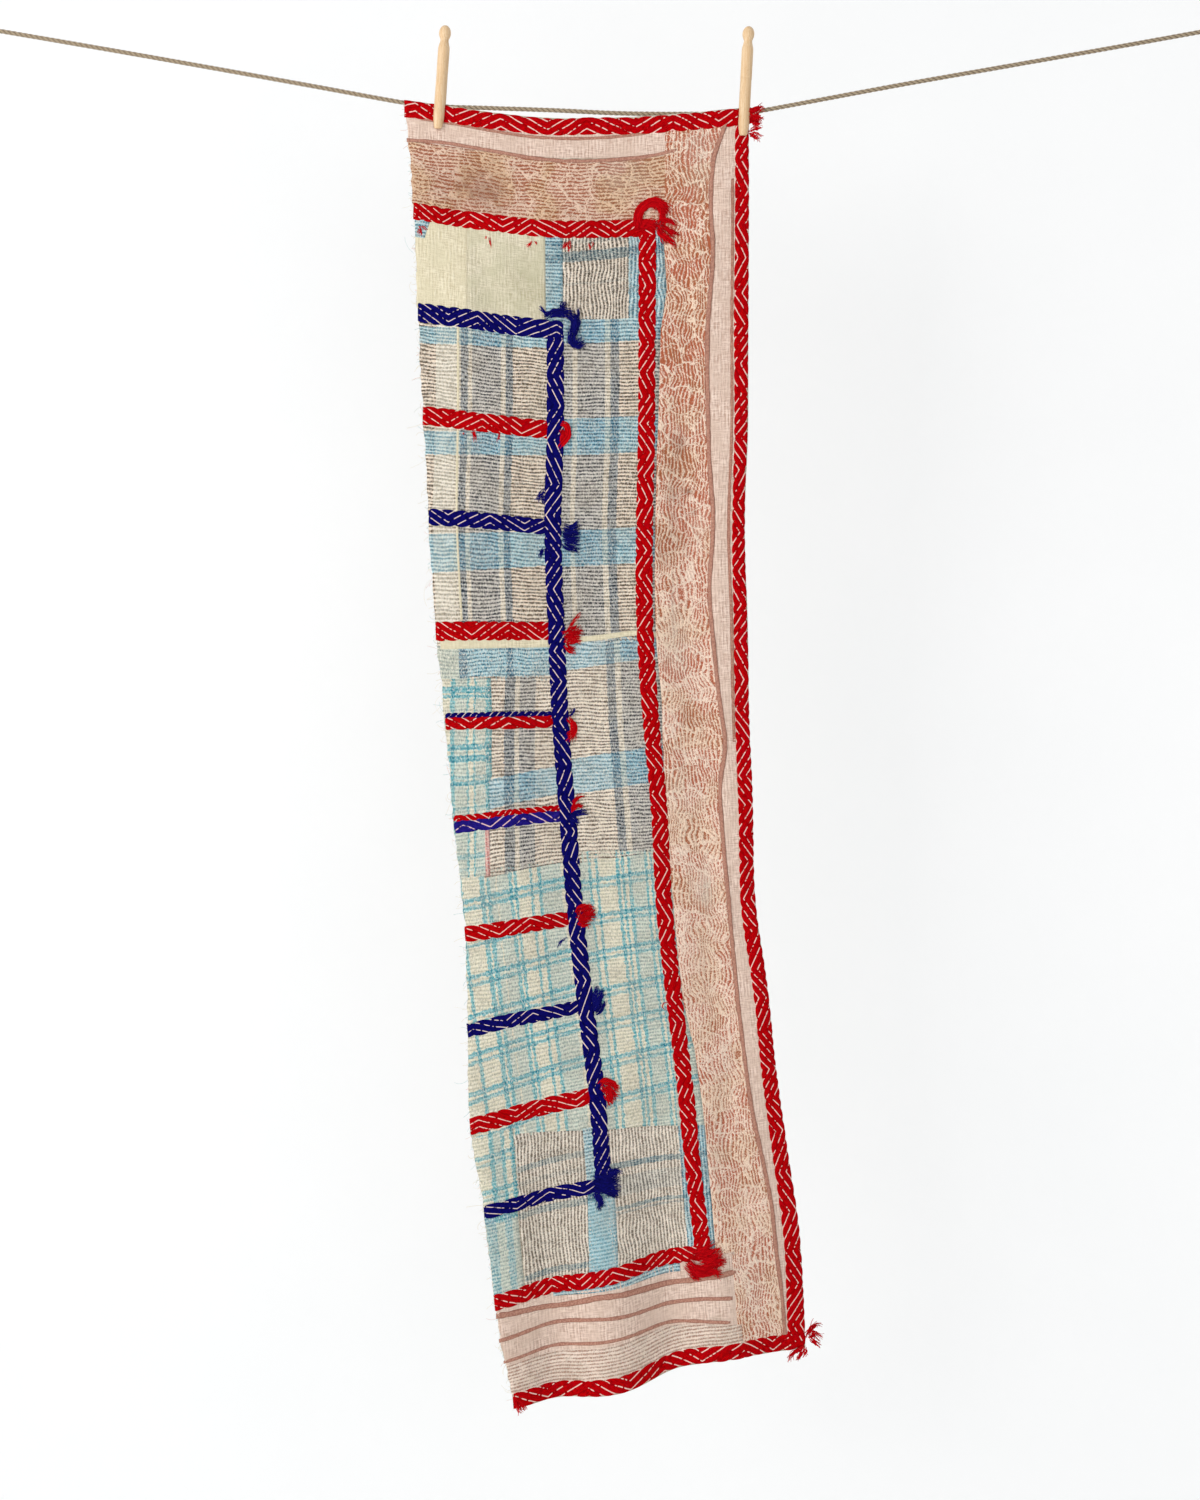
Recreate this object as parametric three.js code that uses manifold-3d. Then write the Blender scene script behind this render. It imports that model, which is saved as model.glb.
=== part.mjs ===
// A kantha cloth on a peg line.
//
// A long piece cut from an old quilted kantha hangs by two wooden dolly pegs
// from a stretched twine line. Thick pattern-stitched bands of red and navy
// yarn run across and along its face, and the ends of their yarn stand out as
// small tufts. The line ends in a knotted loop at each side.
//
// Units are millimetres. +X is to the right along the line, +Y is away from
// the stitched face and +Z is up. The origin is the inside of the left loop,
// where its hook bears.

import * as THREE from 'three';
import { mergeVertices } from 'three/addons/utils/BufferGeometryUtils.js';
import Module from 'manifold-3d';

const wasm = await Module();
wasm.setup();
const { smoothstep, degToRad } = THREE.MathUtils;

// ---------------------------------------------------------------------------
// Driving dimensions

const seat = 0.3;                 // gap between pieces that touch
const sheetThickness = 1.5;       // quilted layers of old sari cotton
const yarnThickness = 0.8;        // how far a stitched band stands up
const innerBand = 17.4;           // width of the bands that run down the cloth
const cellLength = 27;            // longest facet of the cloth

const lineDiameter = 4.6;
const loopRadius = 6;             // centre line of the round end of a loop
const loopLength = 20;            // from the bearing end to the knot's middle
const knotLength = 12;
const knotRadius = 5.2;
const tailLength = 17;            // free end of the twine below its knot

// The cloth's own frame: the middle of the line between the two pegs.
const hangPoint = new THREE.Vector3(636, 0, -86);
// The middle of the sheet hangs in front of the line, clear of it.
const sheetY = -(lineDiameter / 2 + seat + sheetThickness / 2);

// ---------------------------------------------------------------------------
// The cloth, section by section
//
// One row for each place where a band crosses the cloth, from the top edge to
// the bottom edge. x and z are places in the cloth's own frame on four lines
// that run down it: the raw cut edge, the navy band, the inner red band and
// the outer edge. swing is how far the section has turned about the vertical,
// in degrees, with its cut edge coming forward. band is the width of the
// crossing band and border that of the red band along the outer edge.

const sections = [
  { name: 'top_edge', cutX: -191, cutZ: 9, navyX: -37, navyZ: -9.5, redX: 57, redZ: -7.5,
    edgeX: 160, edgeZ: 1.5, swing: 0, band: 17.8, border: 14 },
  { name: 'inner_top', cutX: -180.5, cutZ: -106, navyX: -37.5, navyZ: -124, redX: 57, redZ: -121,
    edgeX: 160.5, edgeZ: -115, swing: 2, band: 18, border: 14.5 },
  { name: 'rung_1', cutX: -175.5, cutZ: -209.5, navyX: -37, navyZ: -226, redX: 56.5, redZ: -225.5,
    edgeX: 160.5, edgeZ: -220, swing: 4, band: 20, border: 15 },
  { name: 'rung_2', cutX: -170, cutZ: -316, navyX: -37, navyZ: -328, redX: 56, redZ: -327.5,
    edgeX: 160.5, edgeZ: -324, swing: 6, band: 19, border: 15 },
  { name: 'rung_3', cutX: -163.5, cutZ: -418, navyX: -39.5, navyZ: -426.5, redX: 54, redZ: -425.5,
    edgeX: 157.5, edgeZ: -423, swing: 8, band: 16, border: 13 },
  { name: 'rung_4', cutX: -156, cutZ: -534.5, navyX: -36, navyZ: -531.5, redX: 54.5, redZ: -529,
    edgeX: 161, edgeZ: -526, swing: 10, band: 19, border: 15.5 },
  { name: 'rung_5', cutX: -146.5, cutZ: -624.5, navyX: -32, navyZ: -622.5, redX: 60.5, redZ: -621,
    edgeX: 162.5, edgeZ: -617.5, swing: 11.5, band: 16.5, border: 15 },
  { name: 'rung_6', cutX: -137.5, cutZ: -728, navyX: -24.5, navyZ: -717, redX: 69, redZ: -714.5,
    edgeX: 166.5, edgeZ: -711, swing: 13, band: 16.5, border: 15 },
  { name: 'rung_7', cutX: -126, cutZ: -837.5, navyX: -16, navyZ: -823, redX: 74.5, redZ: -818,
    edgeX: 170, edgeZ: -813.5, swing: 14.5, band: 15.5, border: 16 },
  { name: 'rung_8', cutX: -123.5, cutZ: -932, navyX: -6, navyZ: -912, redX: 84, redZ: -903.5,
    edgeX: 182, edgeZ: -897.5, swing: 16, band: 14, border: 16 },
  { name: 'rung_9', cutX: -120.5, cutZ: -1027.5, navyX: 5, navyZ: -1002.5, redX: 95, redZ: -992.5,
    edgeX: 191.5, edgeZ: -982.5, swing: 17, band: 17.5, border: 16.5 },
  { name: 'rung_10', cutX: -106.5, cutZ: -1112.5, navyX: 12.5, navyZ: -1092.5, redX: 104, redZ: -1082,
    edgeX: 204, edgeZ: -1070.5, swing: 18, band: 14.5, border: 17 },
  { name: 'inner_bottom', cutX: -96, cutZ: -1202.5, navyX: 20.5, navyZ: -1184, redX: 114, redZ: -1167.5,
    edgeX: 216.5, edgeZ: -1159.5, swing: 18.5, band: 17, border: 18 },
  { name: 'bottom_edge', cutX: -76.5, cutZ: -1308, navyX: 29.5, navyZ: -1301.5, redX: 121.5, redZ: -1281,
    edgeX: 222.5, edgeZ: -1276.5, swing: 19, band: 17, border: 20 },
];
const lines = ['cut', 'navy', 'red', 'edge'];

// Soft folds, one row each. A fold lies along a line down the cloth: across is
// its distance from the navy band at its top end and lean how far it wanders
// per millimetre down. depth is positive away from the stitched face, lift is
// positive upwards, and it fades in and out over ease.
const folds = [
  { name: 'slack_between_pegs', across: -15, lean: 0, from: 30, to: 190, ease: 60, width: 62, depth: -5, lift: 0 },
  { name: 'pull_below_left_peg', across: -112, lean: 0.35, from: 60, to: 250, ease: 50, width: 20, depth: 3, lift: 0 },
  { name: 'pull_below_right_peg', across: 168, lean: -0.1, from: 60, to: 330, ease: 50, width: 20, depth: -3, lift: 0 },
  { name: 'field_belly', across: -70, lean: 0, from: 230, to: 900, ease: 160, width: 46, depth: -6, lift: 0 },
  { name: 'border_trough', across: 140, lean: 0, from: 190, to: 1150, ease: 110, width: 22, depth: 5, lift: 0 },
  { name: 'hem_hollow_left', across: -67, lean: 0, from: 1090, to: 1500, ease: 300, width: 30, depth: 9, lift: 3 },
  { name: 'hem_flute_middle', across: 0, lean: 0, from: 1070, to: 1500, ease: 300, width: 30, depth: -7, lift: 0 },
  { name: 'hem_hollow_right', across: 58, lean: 0, from: 1090, to: 1500, ease: 300, width: 28, depth: 8, lift: 2 },
  { name: 'hem_flute_right', across: 122, lean: 0, from: 1070, to: 1500, ease: 300, width: 30, depth: -7, lift: 0 },
];

// ---------------------------------------------------------------------------
// Smooth curves through the table

// A smooth function through the points (xs[i], ys[i]): cubic pieces whose slope
// at each point is the mean of the slopes on both sides, weighted by nearness.
// firstSlope sets its slope at the first point.
function smoothThrough(xs, ys, firstSlope = null) {
  const last = xs.length - 1;
  const chord = xs.slice(1).map((x, i) => (ys[i + 1] - ys[i]) / (x - xs[i]));
  const slopes = xs.map((x, i) => {
    if (i === 0) return firstSlope ?? chord[0];
    if (i === last) return chord[last - 1];
    const before = xs[i] - xs[i - 1];
    const after = xs[i + 1] - xs[i];
    return (chord[i - 1] * after + chord[i] * before) / (before + after);
  });
  return (x) => {
    let i = 0;
    while (i < last - 1 && x > xs[i + 1]) i++;
    const span = xs[i + 1] - xs[i];
    const t = (x - xs[i]) / span;
    if (t < 0) return ys[0] + slopes[0] * (x - xs[0]);
    if (t > 1) return ys[last] + slopes[last] * (x - xs[last]);
    return (2 * t ** 3 - 3 * t ** 2 + 1) * ys[i] + (t ** 3 - 2 * t ** 2 + t) * span * slopes[i]
      + (3 * t ** 2 - 2 * t ** 3) * ys[i + 1] + (t ** 3 - t ** 2) * span * slopes[i + 1];
  };
}

// Places of one section on the four lines, with the turn about the vertical.
function sectionPoints(section) {
  const middle = (section.cutX + section.edgeX) / 2;
  const turn = Math.tan(degToRad(section.swing));
  return lines.map((line) => {
    const x = section[`${line}X`];
    return new THREE.Vector3(x, (x - middle) * turn, section[`${line}Z`]);
  });
}

const sectionLines = sections.map(sectionPoints);
const navyLine = 1;
// down: distance down the cloth at each section, measured along the navy band.
const down = sectionLines.reduce((list, points, i) => {
  if (i === 0) return [0];
  return [...list, list[i - 1] + points[navyLine].distanceTo(sectionLines[i - 1][navyLine])];
}, []);
const clothLength = down[down.length - 1];
// across: distance from the navy band to each line, cut edge negative.
const across = sectionLines.map(([cut, navy, red, edge]) => {
  const toRed = navy.distanceTo(red);
  return [-cut.distanceTo(navy), 0, toRed, toRed + red.distanceTo(edge)];
});

const lineAcross = lines.map((line, i) => smoothThrough(down, across.map((row) => row[i])));
const lineX = lines.map((line, i) => smoothThrough(down, sectionLines.map((row) => row[i].x)));
// The cloth hangs plumb from the pegs before it starts to turn.
const lineY = lines.map((line, i) => smoothThrough(down, sectionLines.map((row) => row[i].y), 0));
const lineZ = lines.map((line, i) => smoothThrough(down, sectionLines.map((row) => row[i].z)));
const borderWidth = smoothThrough(down, sections.map((section) => section.border));

// Middle of the sheet at u across (from the navy band) and v down the cloth.
function sheetPoint(u, v) {
  const stations = lineAcross.map((place) => place(v));
  const x = smoothThrough(stations, lineX.map((place) => place(v)))(u);
  let y = smoothThrough(stations, lineY.map((place) => place(v)))(u);
  let z = smoothThrough(stations, lineZ.map((place) => place(v)))(u);
  for (const fold of folds) {
    const away = (u - fold.across - fold.lean * (v - fold.from)) / fold.width;
    const fade = smoothstep(v, fold.from - fold.ease / 2, fold.from + fold.ease / 2)
      * (1 - smoothstep(v, fold.to - fold.ease / 2, fold.to + fold.ease / 2));
    const strength = Math.exp(-(away ** 2)) * fade;
    y += fold.depth * strength;
    z += fold.lift * strength;
  }
  return new THREE.Vector3(x, y + sheetY, z);
}

// The sheet's two directions and the one out of its stitched face.
function sheetFrame(u, v) {
  const step = 0.5;
  const right = sheetPoint(u + step, v).sub(sheetPoint(u - step, v)).normalize();
  const up = sheetPoint(u, v - step).sub(sheetPoint(u, v + step)).normalize();
  const out = right.clone().cross(up).normalize();
  return { point: sheetPoint(u, v), right, up: out.clone().cross(right), out };
}

// ---------------------------------------------------------------------------
// Grid of the cloth: its lines run along the edges of every band, so that a
// band lies on whole facets of the sheet.

const half = innerBand / 2;
// Each column is a distance from one of the four lines, or part of the way
// between two such columns.
const keyColumns = [
  { name: 'cut', at: (v) => lineAcross[0](v) },
  { name: 'navyLeft', at: () => -half, cells: 6 },
  { name: 'navyRight', at: () => half, cells: 1 },
  { name: 'redLeft', at: (v) => lineAcross[2](v) - half, cells: 4 },
  { name: 'redRight', at: (v) => lineAcross[2](v) + half, cells: 1 },
  { name: 'borderLeft', at: (v) => lineAcross[3](v) - borderWidth(v), cells: 5 },
  { name: 'edge', at: (v) => lineAcross[3](v), cells: 1 },
];
const columns = [{ at: keyColumns[0].at }];
const columnOf = { cut: 0 };
keyColumns.slice(1).forEach((key, i) => {
  const from = keyColumns[i].at;
  for (let cell = 1; cell <= key.cells; cell++) {
    columns.push({ at: (v) => from(v) + (key.at(v) - from(v)) * cell / key.cells });
  }
  columnOf[key.name] = columns.length - 1;
});

// Rows: both edges of every crossing band, and even steps between them.
const bandRows = {};
const rows = [];
sections.forEach((section, i) => {
  const top = i === 0 ? 0 : down[i] - section.band / 2;
  const bottom = i === sections.length - 1 ? clothLength : top + section.band;
  const start = i === sections.length - 1 ? clothLength - section.band : top;
  if (rows.length) {
    const above = rows[rows.length - 1];
    const steps = Math.ceil((start - above) / cellLength);
    for (let step = 1; step < steps; step++) rows.push(above + (start - above) * step / steps);
  }
  rows.push(start, bottom);
  bandRows[section.name] = [rows.length - 2, rows.length - 1];
});

const grid = rows.map((v) => columns.map((column) => {
  const frame = sheetFrame(column.at(v), v);
  return { middle: frame.point, out: frame.out };
}));

// A closed solid between two distances from the sheet's middle, over the part
// of the grid it is given. near and far count outwards from the stitched face.
function slab(part, near, far) {
  const rowCount = part.length;
  const columnCount = part[0].length;
  const positions = [];
  for (const distance of [far, near]) {
    for (const line of part) {
      for (const node of line) {
        positions.push(...node.middle.clone().addScaledVector(node.out, distance).toArray());
      }
    }
  }
  const index = (side, row, column) => (side * rowCount + row) * columnCount + column;
  const faces = [];
  const quad = (a, b, c, d) => faces.push(a, b, c, a, c, d);
  for (let row = 0; row < rowCount - 1; row++) {
    for (let column = 0; column < columnCount - 1; column++) {
      quad(index(0, row, column), index(0, row + 1, column),
        index(0, row + 1, column + 1), index(0, row, column + 1));
      faces.push(index(1, row, column), index(1, row + 1, column + 1), index(1, row + 1, column),
        index(1, row, column), index(1, row, column + 1), index(1, row + 1, column + 1));
    }
  }
  const lastRow = rowCount - 1;
  const lastColumn = columnCount - 1;
  for (let row = 0; row < lastRow; row++) {
    quad(index(0, row, 0), index(1, row, 0), index(1, row + 1, 0), index(0, row + 1, 0));
    quad(index(0, row + 1, lastColumn), index(1, row + 1, lastColumn),
      index(1, row, lastColumn), index(0, row, lastColumn));
  }
  for (let column = 0; column < lastColumn; column++) {
    quad(index(0, 0, column + 1), index(1, 0, column + 1), index(1, 0, column), index(0, 0, column));
    quad(index(0, lastRow, column), index(1, lastRow, column),
      index(1, lastRow, column + 1), index(0, lastRow, column + 1));
  }
  return indexed(positions, faces);
}

function indexed(positions, faces) {
  const geometry = new THREE.BufferGeometry();
  geometry.setAttribute('position', new THREE.Float32BufferAttribute(positions, 3));
  geometry.setIndex(faces);
  geometry.computeVertexNormals();
  return geometry;
}

// Part of the grid, with its first or last line of nodes drawn in by a seat
// where it meets the side of another band.
function gridPart(rowRange, columnRange, drawIn = {}) {
  const part = grid.slice(rowRange[0], rowRange[1] + 1)
    .map((line) => line.slice(columnRange[0], columnRange[1] + 1));
  const nearer = (node, neighbour) => {
    const share = seat / node.middle.distanceTo(neighbour.middle);
    return {
      middle: node.middle.clone().lerp(neighbour.middle, share),
      out: node.out.clone().lerp(neighbour.out, share).normalize(),
    };
  };
  const last = part.length - 1;
  const side = part[0].length - 1;
  if (drawIn.top) part[0] = part[0].map((node, i) => nearer(node, part[1][i]));
  if (drawIn.bottom) part[last] = part[last].map((node, i) => nearer(node, part[last - 1][i]));
  if (drawIn.right) part.forEach((line) => { line[side] = nearer(line[side], line[side - 1]); });
  return part;
}

// ---------------------------------------------------------------------------
// Materials and placing

const paint = (color, roughness) => new THREE.MeshStandardMaterial({ color, roughness, metalness: 0 });
const materials = {
  cloth: paint('#CDBDA4', 0.95),
  redYarn: paint('#C4070D', 0.9),
  navyYarn: paint('#15167C', 0.9),
  twine: paint('#9C8B6F', 0.95),
  beech: paint('#E4C69C', 0.6),
};

const kantha = new THREE.Group();
const hanging = new THREE.Group();
hanging.position.copy(hangPoint);
kantha.add(hanging);

function place(group, name, geometry, material) {
  const mesh = new THREE.Mesh(geometry, material);
  mesh.name = name;
  group.add(mesh);
  return mesh;
}

// ---------------------------------------------------------------------------
// Cloth and stitched bands

const wholeRows = [0, rows.length - 1];
const wholeColumns = [0, columns.length - 1];
place(hanging, 'cloth', slab(gridPart(wholeRows, wholeColumns), -sheetThickness / 2, sheetThickness / 2),
  materials.cloth);

const yarnNear = sheetThickness / 2 + seat;
const yarnFar = yarnNear + yarnThickness;

function band(name, part, material) {
  place(hanging, name, slab(part, yarnNear, yarnFar), material);
}

const { cut, navyLeft, navyRight, redLeft, redRight, borderLeft, edge } = columnOf;
band('band_outer_top', gridPart(bandRows.top_edge, [cut, edge]), materials.redYarn);
band('band_outer_right',
  gridPart([bandRows.top_edge[1], wholeRows[1]], [borderLeft, edge], { top: true }), materials.redYarn);
band('band_outer_bottom',
  gridPart(bandRows.bottom_edge, [cut, borderLeft], { right: true }), materials.redYarn);
band('band_inner_top', gridPart(bandRows.inner_top, [cut, redRight]), materials.redYarn);
band('band_inner_right',
  gridPart([bandRows.inner_top[1], bandRows.inner_bottom[0]], [redLeft, redRight], { top: true, bottom: true }),
  materials.redYarn);
band('band_inner_bottom', gridPart(bandRows.inner_bottom, [cut, redRight]), materials.redYarn);
band('band_navy',
  gridPart([bandRows.rung_1[1], bandRows.rung_10[0]], [navyLeft, navyRight], { top: true, bottom: true }),
  materials.navyYarn);

// The rungs run from the cut edge to the navy band. The first and last turn
// its corners, and the others stop at its side.
const navyRungs = [1, 3, 6, 8, 10];
const rungCount = 10;
for (let number = 1; number <= rungCount; number++) {
  const turnsCorner = number === 1 || number === rungCount;
  const columnRange = [cut, turnsCorner ? navyRight : navyLeft];
  band(`rung_${number}`, gridPart(bandRows[`rung_${number}`], columnRange, { right: !turnsCorner }),
    navyRungs.includes(number) ? materials.navyYarn : materials.redYarn);
}

// ---------------------------------------------------------------------------
// Yarn tufts, one row each. beside names the line they are measured from,
// aside is the distance from it and down the distance down the cloth. An over
// tuft lies on a band, the others on the cloth.

const tufts = [
  { name: 'outer_top', beside: 'edge', aside: 6.2, down: 11, wide: 12, tall: 30, thick: 6, over: true },
  { name: 'inner_top_curl', beside: 'red', aside: -1, down: 94, wide: 32, tall: 20, thick: 7 },
  { name: 'inner_top_fan', beside: 'red', aside: 20, down: 121, wide: 18, tall: 23, thick: 6 },
  { name: 'navy_top', beside: 'navy', aside: 13, down: 216, wide: 34, tall: 38, thick: 8, over: true, navy: true },
  { name: 'rung_2', beside: 'navy', aside: 9, down: 322, wide: 12, tall: 27, thick: 7, over: true },
  { name: 'rung_3', beside: 'navy', aside: 18.5, down: 424, wide: 17, tall: 29, thick: 7, navy: true },
  { name: 'rung_4', beside: 'navy', aside: 17.8, down: 524, wide: 17, tall: 34, thick: 7 },
  { name: 'rung_5', beside: 'navy', aside: 8, down: 622, wide: 12, tall: 24, thick: 6, over: true },
  { name: 'rung_6', beside: 'navy', aside: 15.8, down: 703, wide: 13, tall: 29, thick: 6, navy: true },
  { name: 'rung_7', beside: 'navy', aside: 9, down: 811, wide: 21, tall: 20, thick: 7, over: true },
  { name: 'rung_8', beside: 'navy', aside: 11, down: 900, wide: 14, tall: 29, thick: 7, over: true, navy: true },
  { name: 'rung_9', beside: 'navy', aside: 12, down: 993, wide: 17, tall: 22, thick: 7, over: true },
  { name: 'navy_bottom', beside: 'navy', aside: 4, down: 1093, wide: 30, tall: 38, thick: 8, over: true, navy: true },
  { name: 'inner_bottom', beside: 'red', aside: 1, down: 1186, wide: 36, tall: 36, thick: 9, over: true },
  { name: 'outer_bottom', beside: 'edge', aside: 2, down: 1291, wide: 34, tall: 36, thick: 8, over: true },
  { name: 'outer_corner', beside: 'cut', aside: 6, down: 1294, wide: 11, tall: 13, thick: 4, over: true },
];

function ellipsoid(wide, thick, tall) {
  const ball = new THREE.IcosahedronGeometry(1, 1);
  return ball.scale(wide / 2, thick / 2, tall / 2);
}

for (const tuft of tufts) {
  const u = lineAcross[lines.indexOf(tuft.beside)](tuft.down) + tuft.aside;
  const frame = sheetFrame(u, tuft.down);
  const under = tuft.over ? yarnFar : sheetThickness / 2;
  const mesh = place(hanging, `tuft_${tuft.name}`, ellipsoid(tuft.wide, tuft.thick, tuft.tall),
    tuft.navy ? materials.navyYarn : materials.redYarn);
  mesh.position.copy(frame.point).addScaledVector(frame.out, under + seat + tuft.thick / 2);
  const back = frame.out.clone().negate();
  mesh.quaternion.setFromRotationMatrix(new THREE.Matrix4().makeBasis(frame.right, back, frame.up));
}

// ---------------------------------------------------------------------------
// Pegs: turned dolly pegs with a sawn slot. Their legs spread where they grip.

const pegRadius = 5.9;
const slotWidth = 3.4;
const legSpread = degToRad(3.34);
// The line bears on the inside of the back leg, so the slot's middle is in
// front of the line's by the difference.
const pressedLine = 1.4;          // how much the back leg flattens the line
const yarnFace = sheetY - yarnFar;
const backLegFace = lineDiameter / 2 - pressedLine + seat;
const pegY = (yarnFace - seat + backLegFace) / 2;

const pegs = [
  // x and z are where the line crosses the peg, tip how far below that its
  // legs reach, lean its tilt to the right in degrees.
  { name: 'peg_left', x: 481.5, z: -82.5, length: 107, tip: 25, lean: 4 },
  { name: 'peg_right', x: 791.5, z: -89.5, length: 113, tip: 25, lean: 3.1 },
];
const slotDepth = 58;

// Half outline of a peg: radius and height above its tip.
function pegOutline(length) {
  const headTop = length;
  const headMiddle = length - 8;
  const neck = length - 15.5;
  const outline = [[0, 0], [3.6, 0], [4.4, 1.2], [pegRadius, 11], [pegRadius, neck - 9],
    [5.4, neck - 5.5], [4.2, neck], [4.6, neck + 1.8]];
  const headArc = 5;
  for (let i = 0; i <= headArc; i++) {
    const angle = THREE.MathUtils.lerp(-0.55, Math.PI / 2, i / headArc);
    outline.push([6.1 * Math.cos(angle), headMiddle + (headTop - headMiddle) * Math.sin(angle)]);
  }
  outline[outline.length - 1][0] = 0;
  return outline.map(([radius, height]) => new THREE.Vector2(radius, height));
}

function toSolid(geometry) {
  const bare = geometry.clone();
  bare.deleteAttribute('normal');
  bare.deleteAttribute('uv');
  const merged = mergeVertices(bare, 1e-4);
  return new wasm.Manifold(new wasm.Mesh({
    numProp: 3,
    vertProperties: new Float32Array(merged.getAttribute('position').array),
    triVerts: new Uint32Array(merged.getIndex().array),
  }));
}

function toGeometry(solid) {
  const mesh = solid.getMesh();
  return indexed(Array.from(mesh.vertProperties), Array.from(mesh.triVerts));
}

function boxAt(width, depth, height, x, y, z) {
  return toSolid(new THREE.BoxGeometry(width, depth, height).translate(x, y, z));
}

function turnedPeg(length) {
  // A lathe turns about Y, so it is stood up to turn about Z.
  const turned = toSolid(new THREE.LatheGeometry(pegOutline(length), 20).rotateX(Math.PI / 2));
  const wide = 4 * pegRadius;
  const aboveSlot = boxAt(wide, wide, length, 0, 0, slotDepth + length / 2);
  const pieces = [turned.intersect(aboveSlot)];
  for (const side of [-1, 1]) {
    const legBox = boxAt(wide, wide, slotDepth, 0, side * (slotWidth / 2 + wide / 2), slotDepth / 2);
    const leg = toGeometry(turned.intersect(legBox));
    leg.translate(0, 0, -slotDepth).rotateX(side * legSpread).translate(0, 0, slotDepth);
    pieces.push(toSolid(leg));
  }
  return pieces.reduce((whole, piece) => whole.add(piece));
}

for (const peg of pegs) {
  const mesh = place(kantha, peg.name, toGeometry(turnedPeg(peg.length)), materials.beech);
  const lean = degToRad(peg.lean);
  mesh.rotation.y = lean;
  mesh.position.set(peg.x - peg.tip * Math.sin(lean), pegY, peg.z - peg.tip * Math.cos(lean));
}

// ---------------------------------------------------------------------------
// Line: twine stretched from loop to loop, drawn down where the cloth hangs

const bearingRight = new THREE.Vector3(1289, 0, -1);
const linePoints = [
  [25.9, -4.5], [135, -23.2], [245, -42.6], [350, -61.5], [446, -79],
  [481.5, -82.6], [530, -84.2], [600, -86.6], [660, -89.4], [720, -90.2],
  [791.5, -89.6], [812, -86.4], [850, -79.4], [950, -60.8], [1052, -42.9],
  [1160, -24], [1263.1, -5.5],
].map(([x, z]) => new THREE.Vector3(x, 0, z));

function roundSection(radius, sides) {
  const shape = new THREE.Shape();
  for (let i = 0; i < sides; i++) {
    const angle = (i + 0.5) * 2 * Math.PI / sides;
    const point = [radius * Math.cos(angle), radius * Math.sin(angle)];
    if (i === 0) shape.moveTo(...point);
    else shape.lineTo(...point);
  }
  shape.closePath();
  return shape;
}

function tube(points, steps) {
  return new THREE.ExtrudeGeometry(roundSection(lineDiameter / 2, 8), {
    steps,
    bevelEnabled: false,
    extrudePath: new THREE.CatmullRomCurve3(points, false, 'centripetal'),
  });
}

// The back legs of the pegs flatten the twine where they press on it.
const pressWidth = 2 * pegRadius + 6;
const pressedFlats = pegs.map((peg) => boxAt(pressWidth, lineDiameter, 4 * lineDiameter,
  peg.x, lineDiameter - pressedLine, peg.z));
const line = pressedFlats.reduce((solid, flat) => solid.subtract(flat), toSolid(tube(linePoints, 80)));
place(kantha, 'line', toGeometry(line), materials.twine);

// ---------------------------------------------------------------------------
// End loops: the twine turns round a hook, comes back and is knotted on itself

function endLoop() {
  // Built along +X: the hook bears at the origin and the line leaves past the
  // knot.
  const turnX = loopRadius - lineDiameter / 2;
  const points = [];
  const arcSteps = 8;
  for (let i = 0; i <= arcSteps; i++) {
    const angle = THREE.MathUtils.lerp(0.58, 1.42, i / arcSteps) * Math.PI;
    points.push(new THREE.Vector3(turnX + loopRadius * Math.cos(angle), 0, loopRadius * Math.sin(angle)));
  }
  const legEnd = 2.4;
  points.unshift(new THREE.Vector3(loopLength, 0, legEnd));
  points.push(new THREE.Vector3(loopLength, 0, -legEnd));
  const turn = toSolid(tube(points, 22));
  const knotOutline = [[0, -0.5], [3.6, -0.5], [4.9, -0.3], [knotRadius, 0], [4.9, 0.3], [3.6, 0.5], [0, 0.5]]
    .map(([radius, share]) => new THREE.Vector2(radius, share * knotLength));
  const knot = toSolid(new THREE.LatheGeometry(knotOutline, 12).rotateZ(-Math.PI / 2)
    .translate(loopLength, 0, 0));
  const tail = toSolid(tube([
    new THREE.Vector3(loopLength, 0, -2), new THREE.Vector3(loopLength + 1.5, 0.5, -8),
    new THREE.Vector3(loopLength + 1, 1, -2 - tailLength),
  ], 5));
  return toGeometry(turn.add(knot).add(tail));
}

// The hook bears on the inside of the twine, at the loop's far end.
const bearings = [
  { name: 'loop_left', at: new THREE.Vector3(0, 0, 0), towards: linePoints[0] },
  { name: 'loop_right', at: bearingRight, towards: linePoints[linePoints.length - 1] },
];
for (const bearing of bearings) {
  const mesh = place(kantha, bearing.name, endLoop(), materials.twine);
  const run = bearing.towards.clone().sub(bearing.at);
  mesh.rotation.order = 'ZYX';
  mesh.rotation.set(0, -Math.atan2(run.z, Math.abs(run.x)), run.x < 0 ? Math.PI : 0);
  mesh.position.copy(bearing.at);
}

export default kantha;
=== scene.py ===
# %% [markdown]
# # A kantha cloth on a peg line
#
# A kantha is a quilt of old, soft cotton: several worn saris laid on each other
# and held together by thousands of small running stitches. This one is a long
# piece cut from such a quilt. Its borders and its ten short cross bars are worked
# in thick red and navy yarn, and the yarn's ends are left as tufts. It hangs by
# two turned wooden pegs from a stretched line of twine.
#
# All lengths in the tables are millimetres, because a maker measures cloth that
# way. They become metres once, where a mesh is made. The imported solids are
# loaded first and stay where they are: they are the frame that everything below
# has to fit.

# %% Load the frame
import math
from functools import partial

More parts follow.
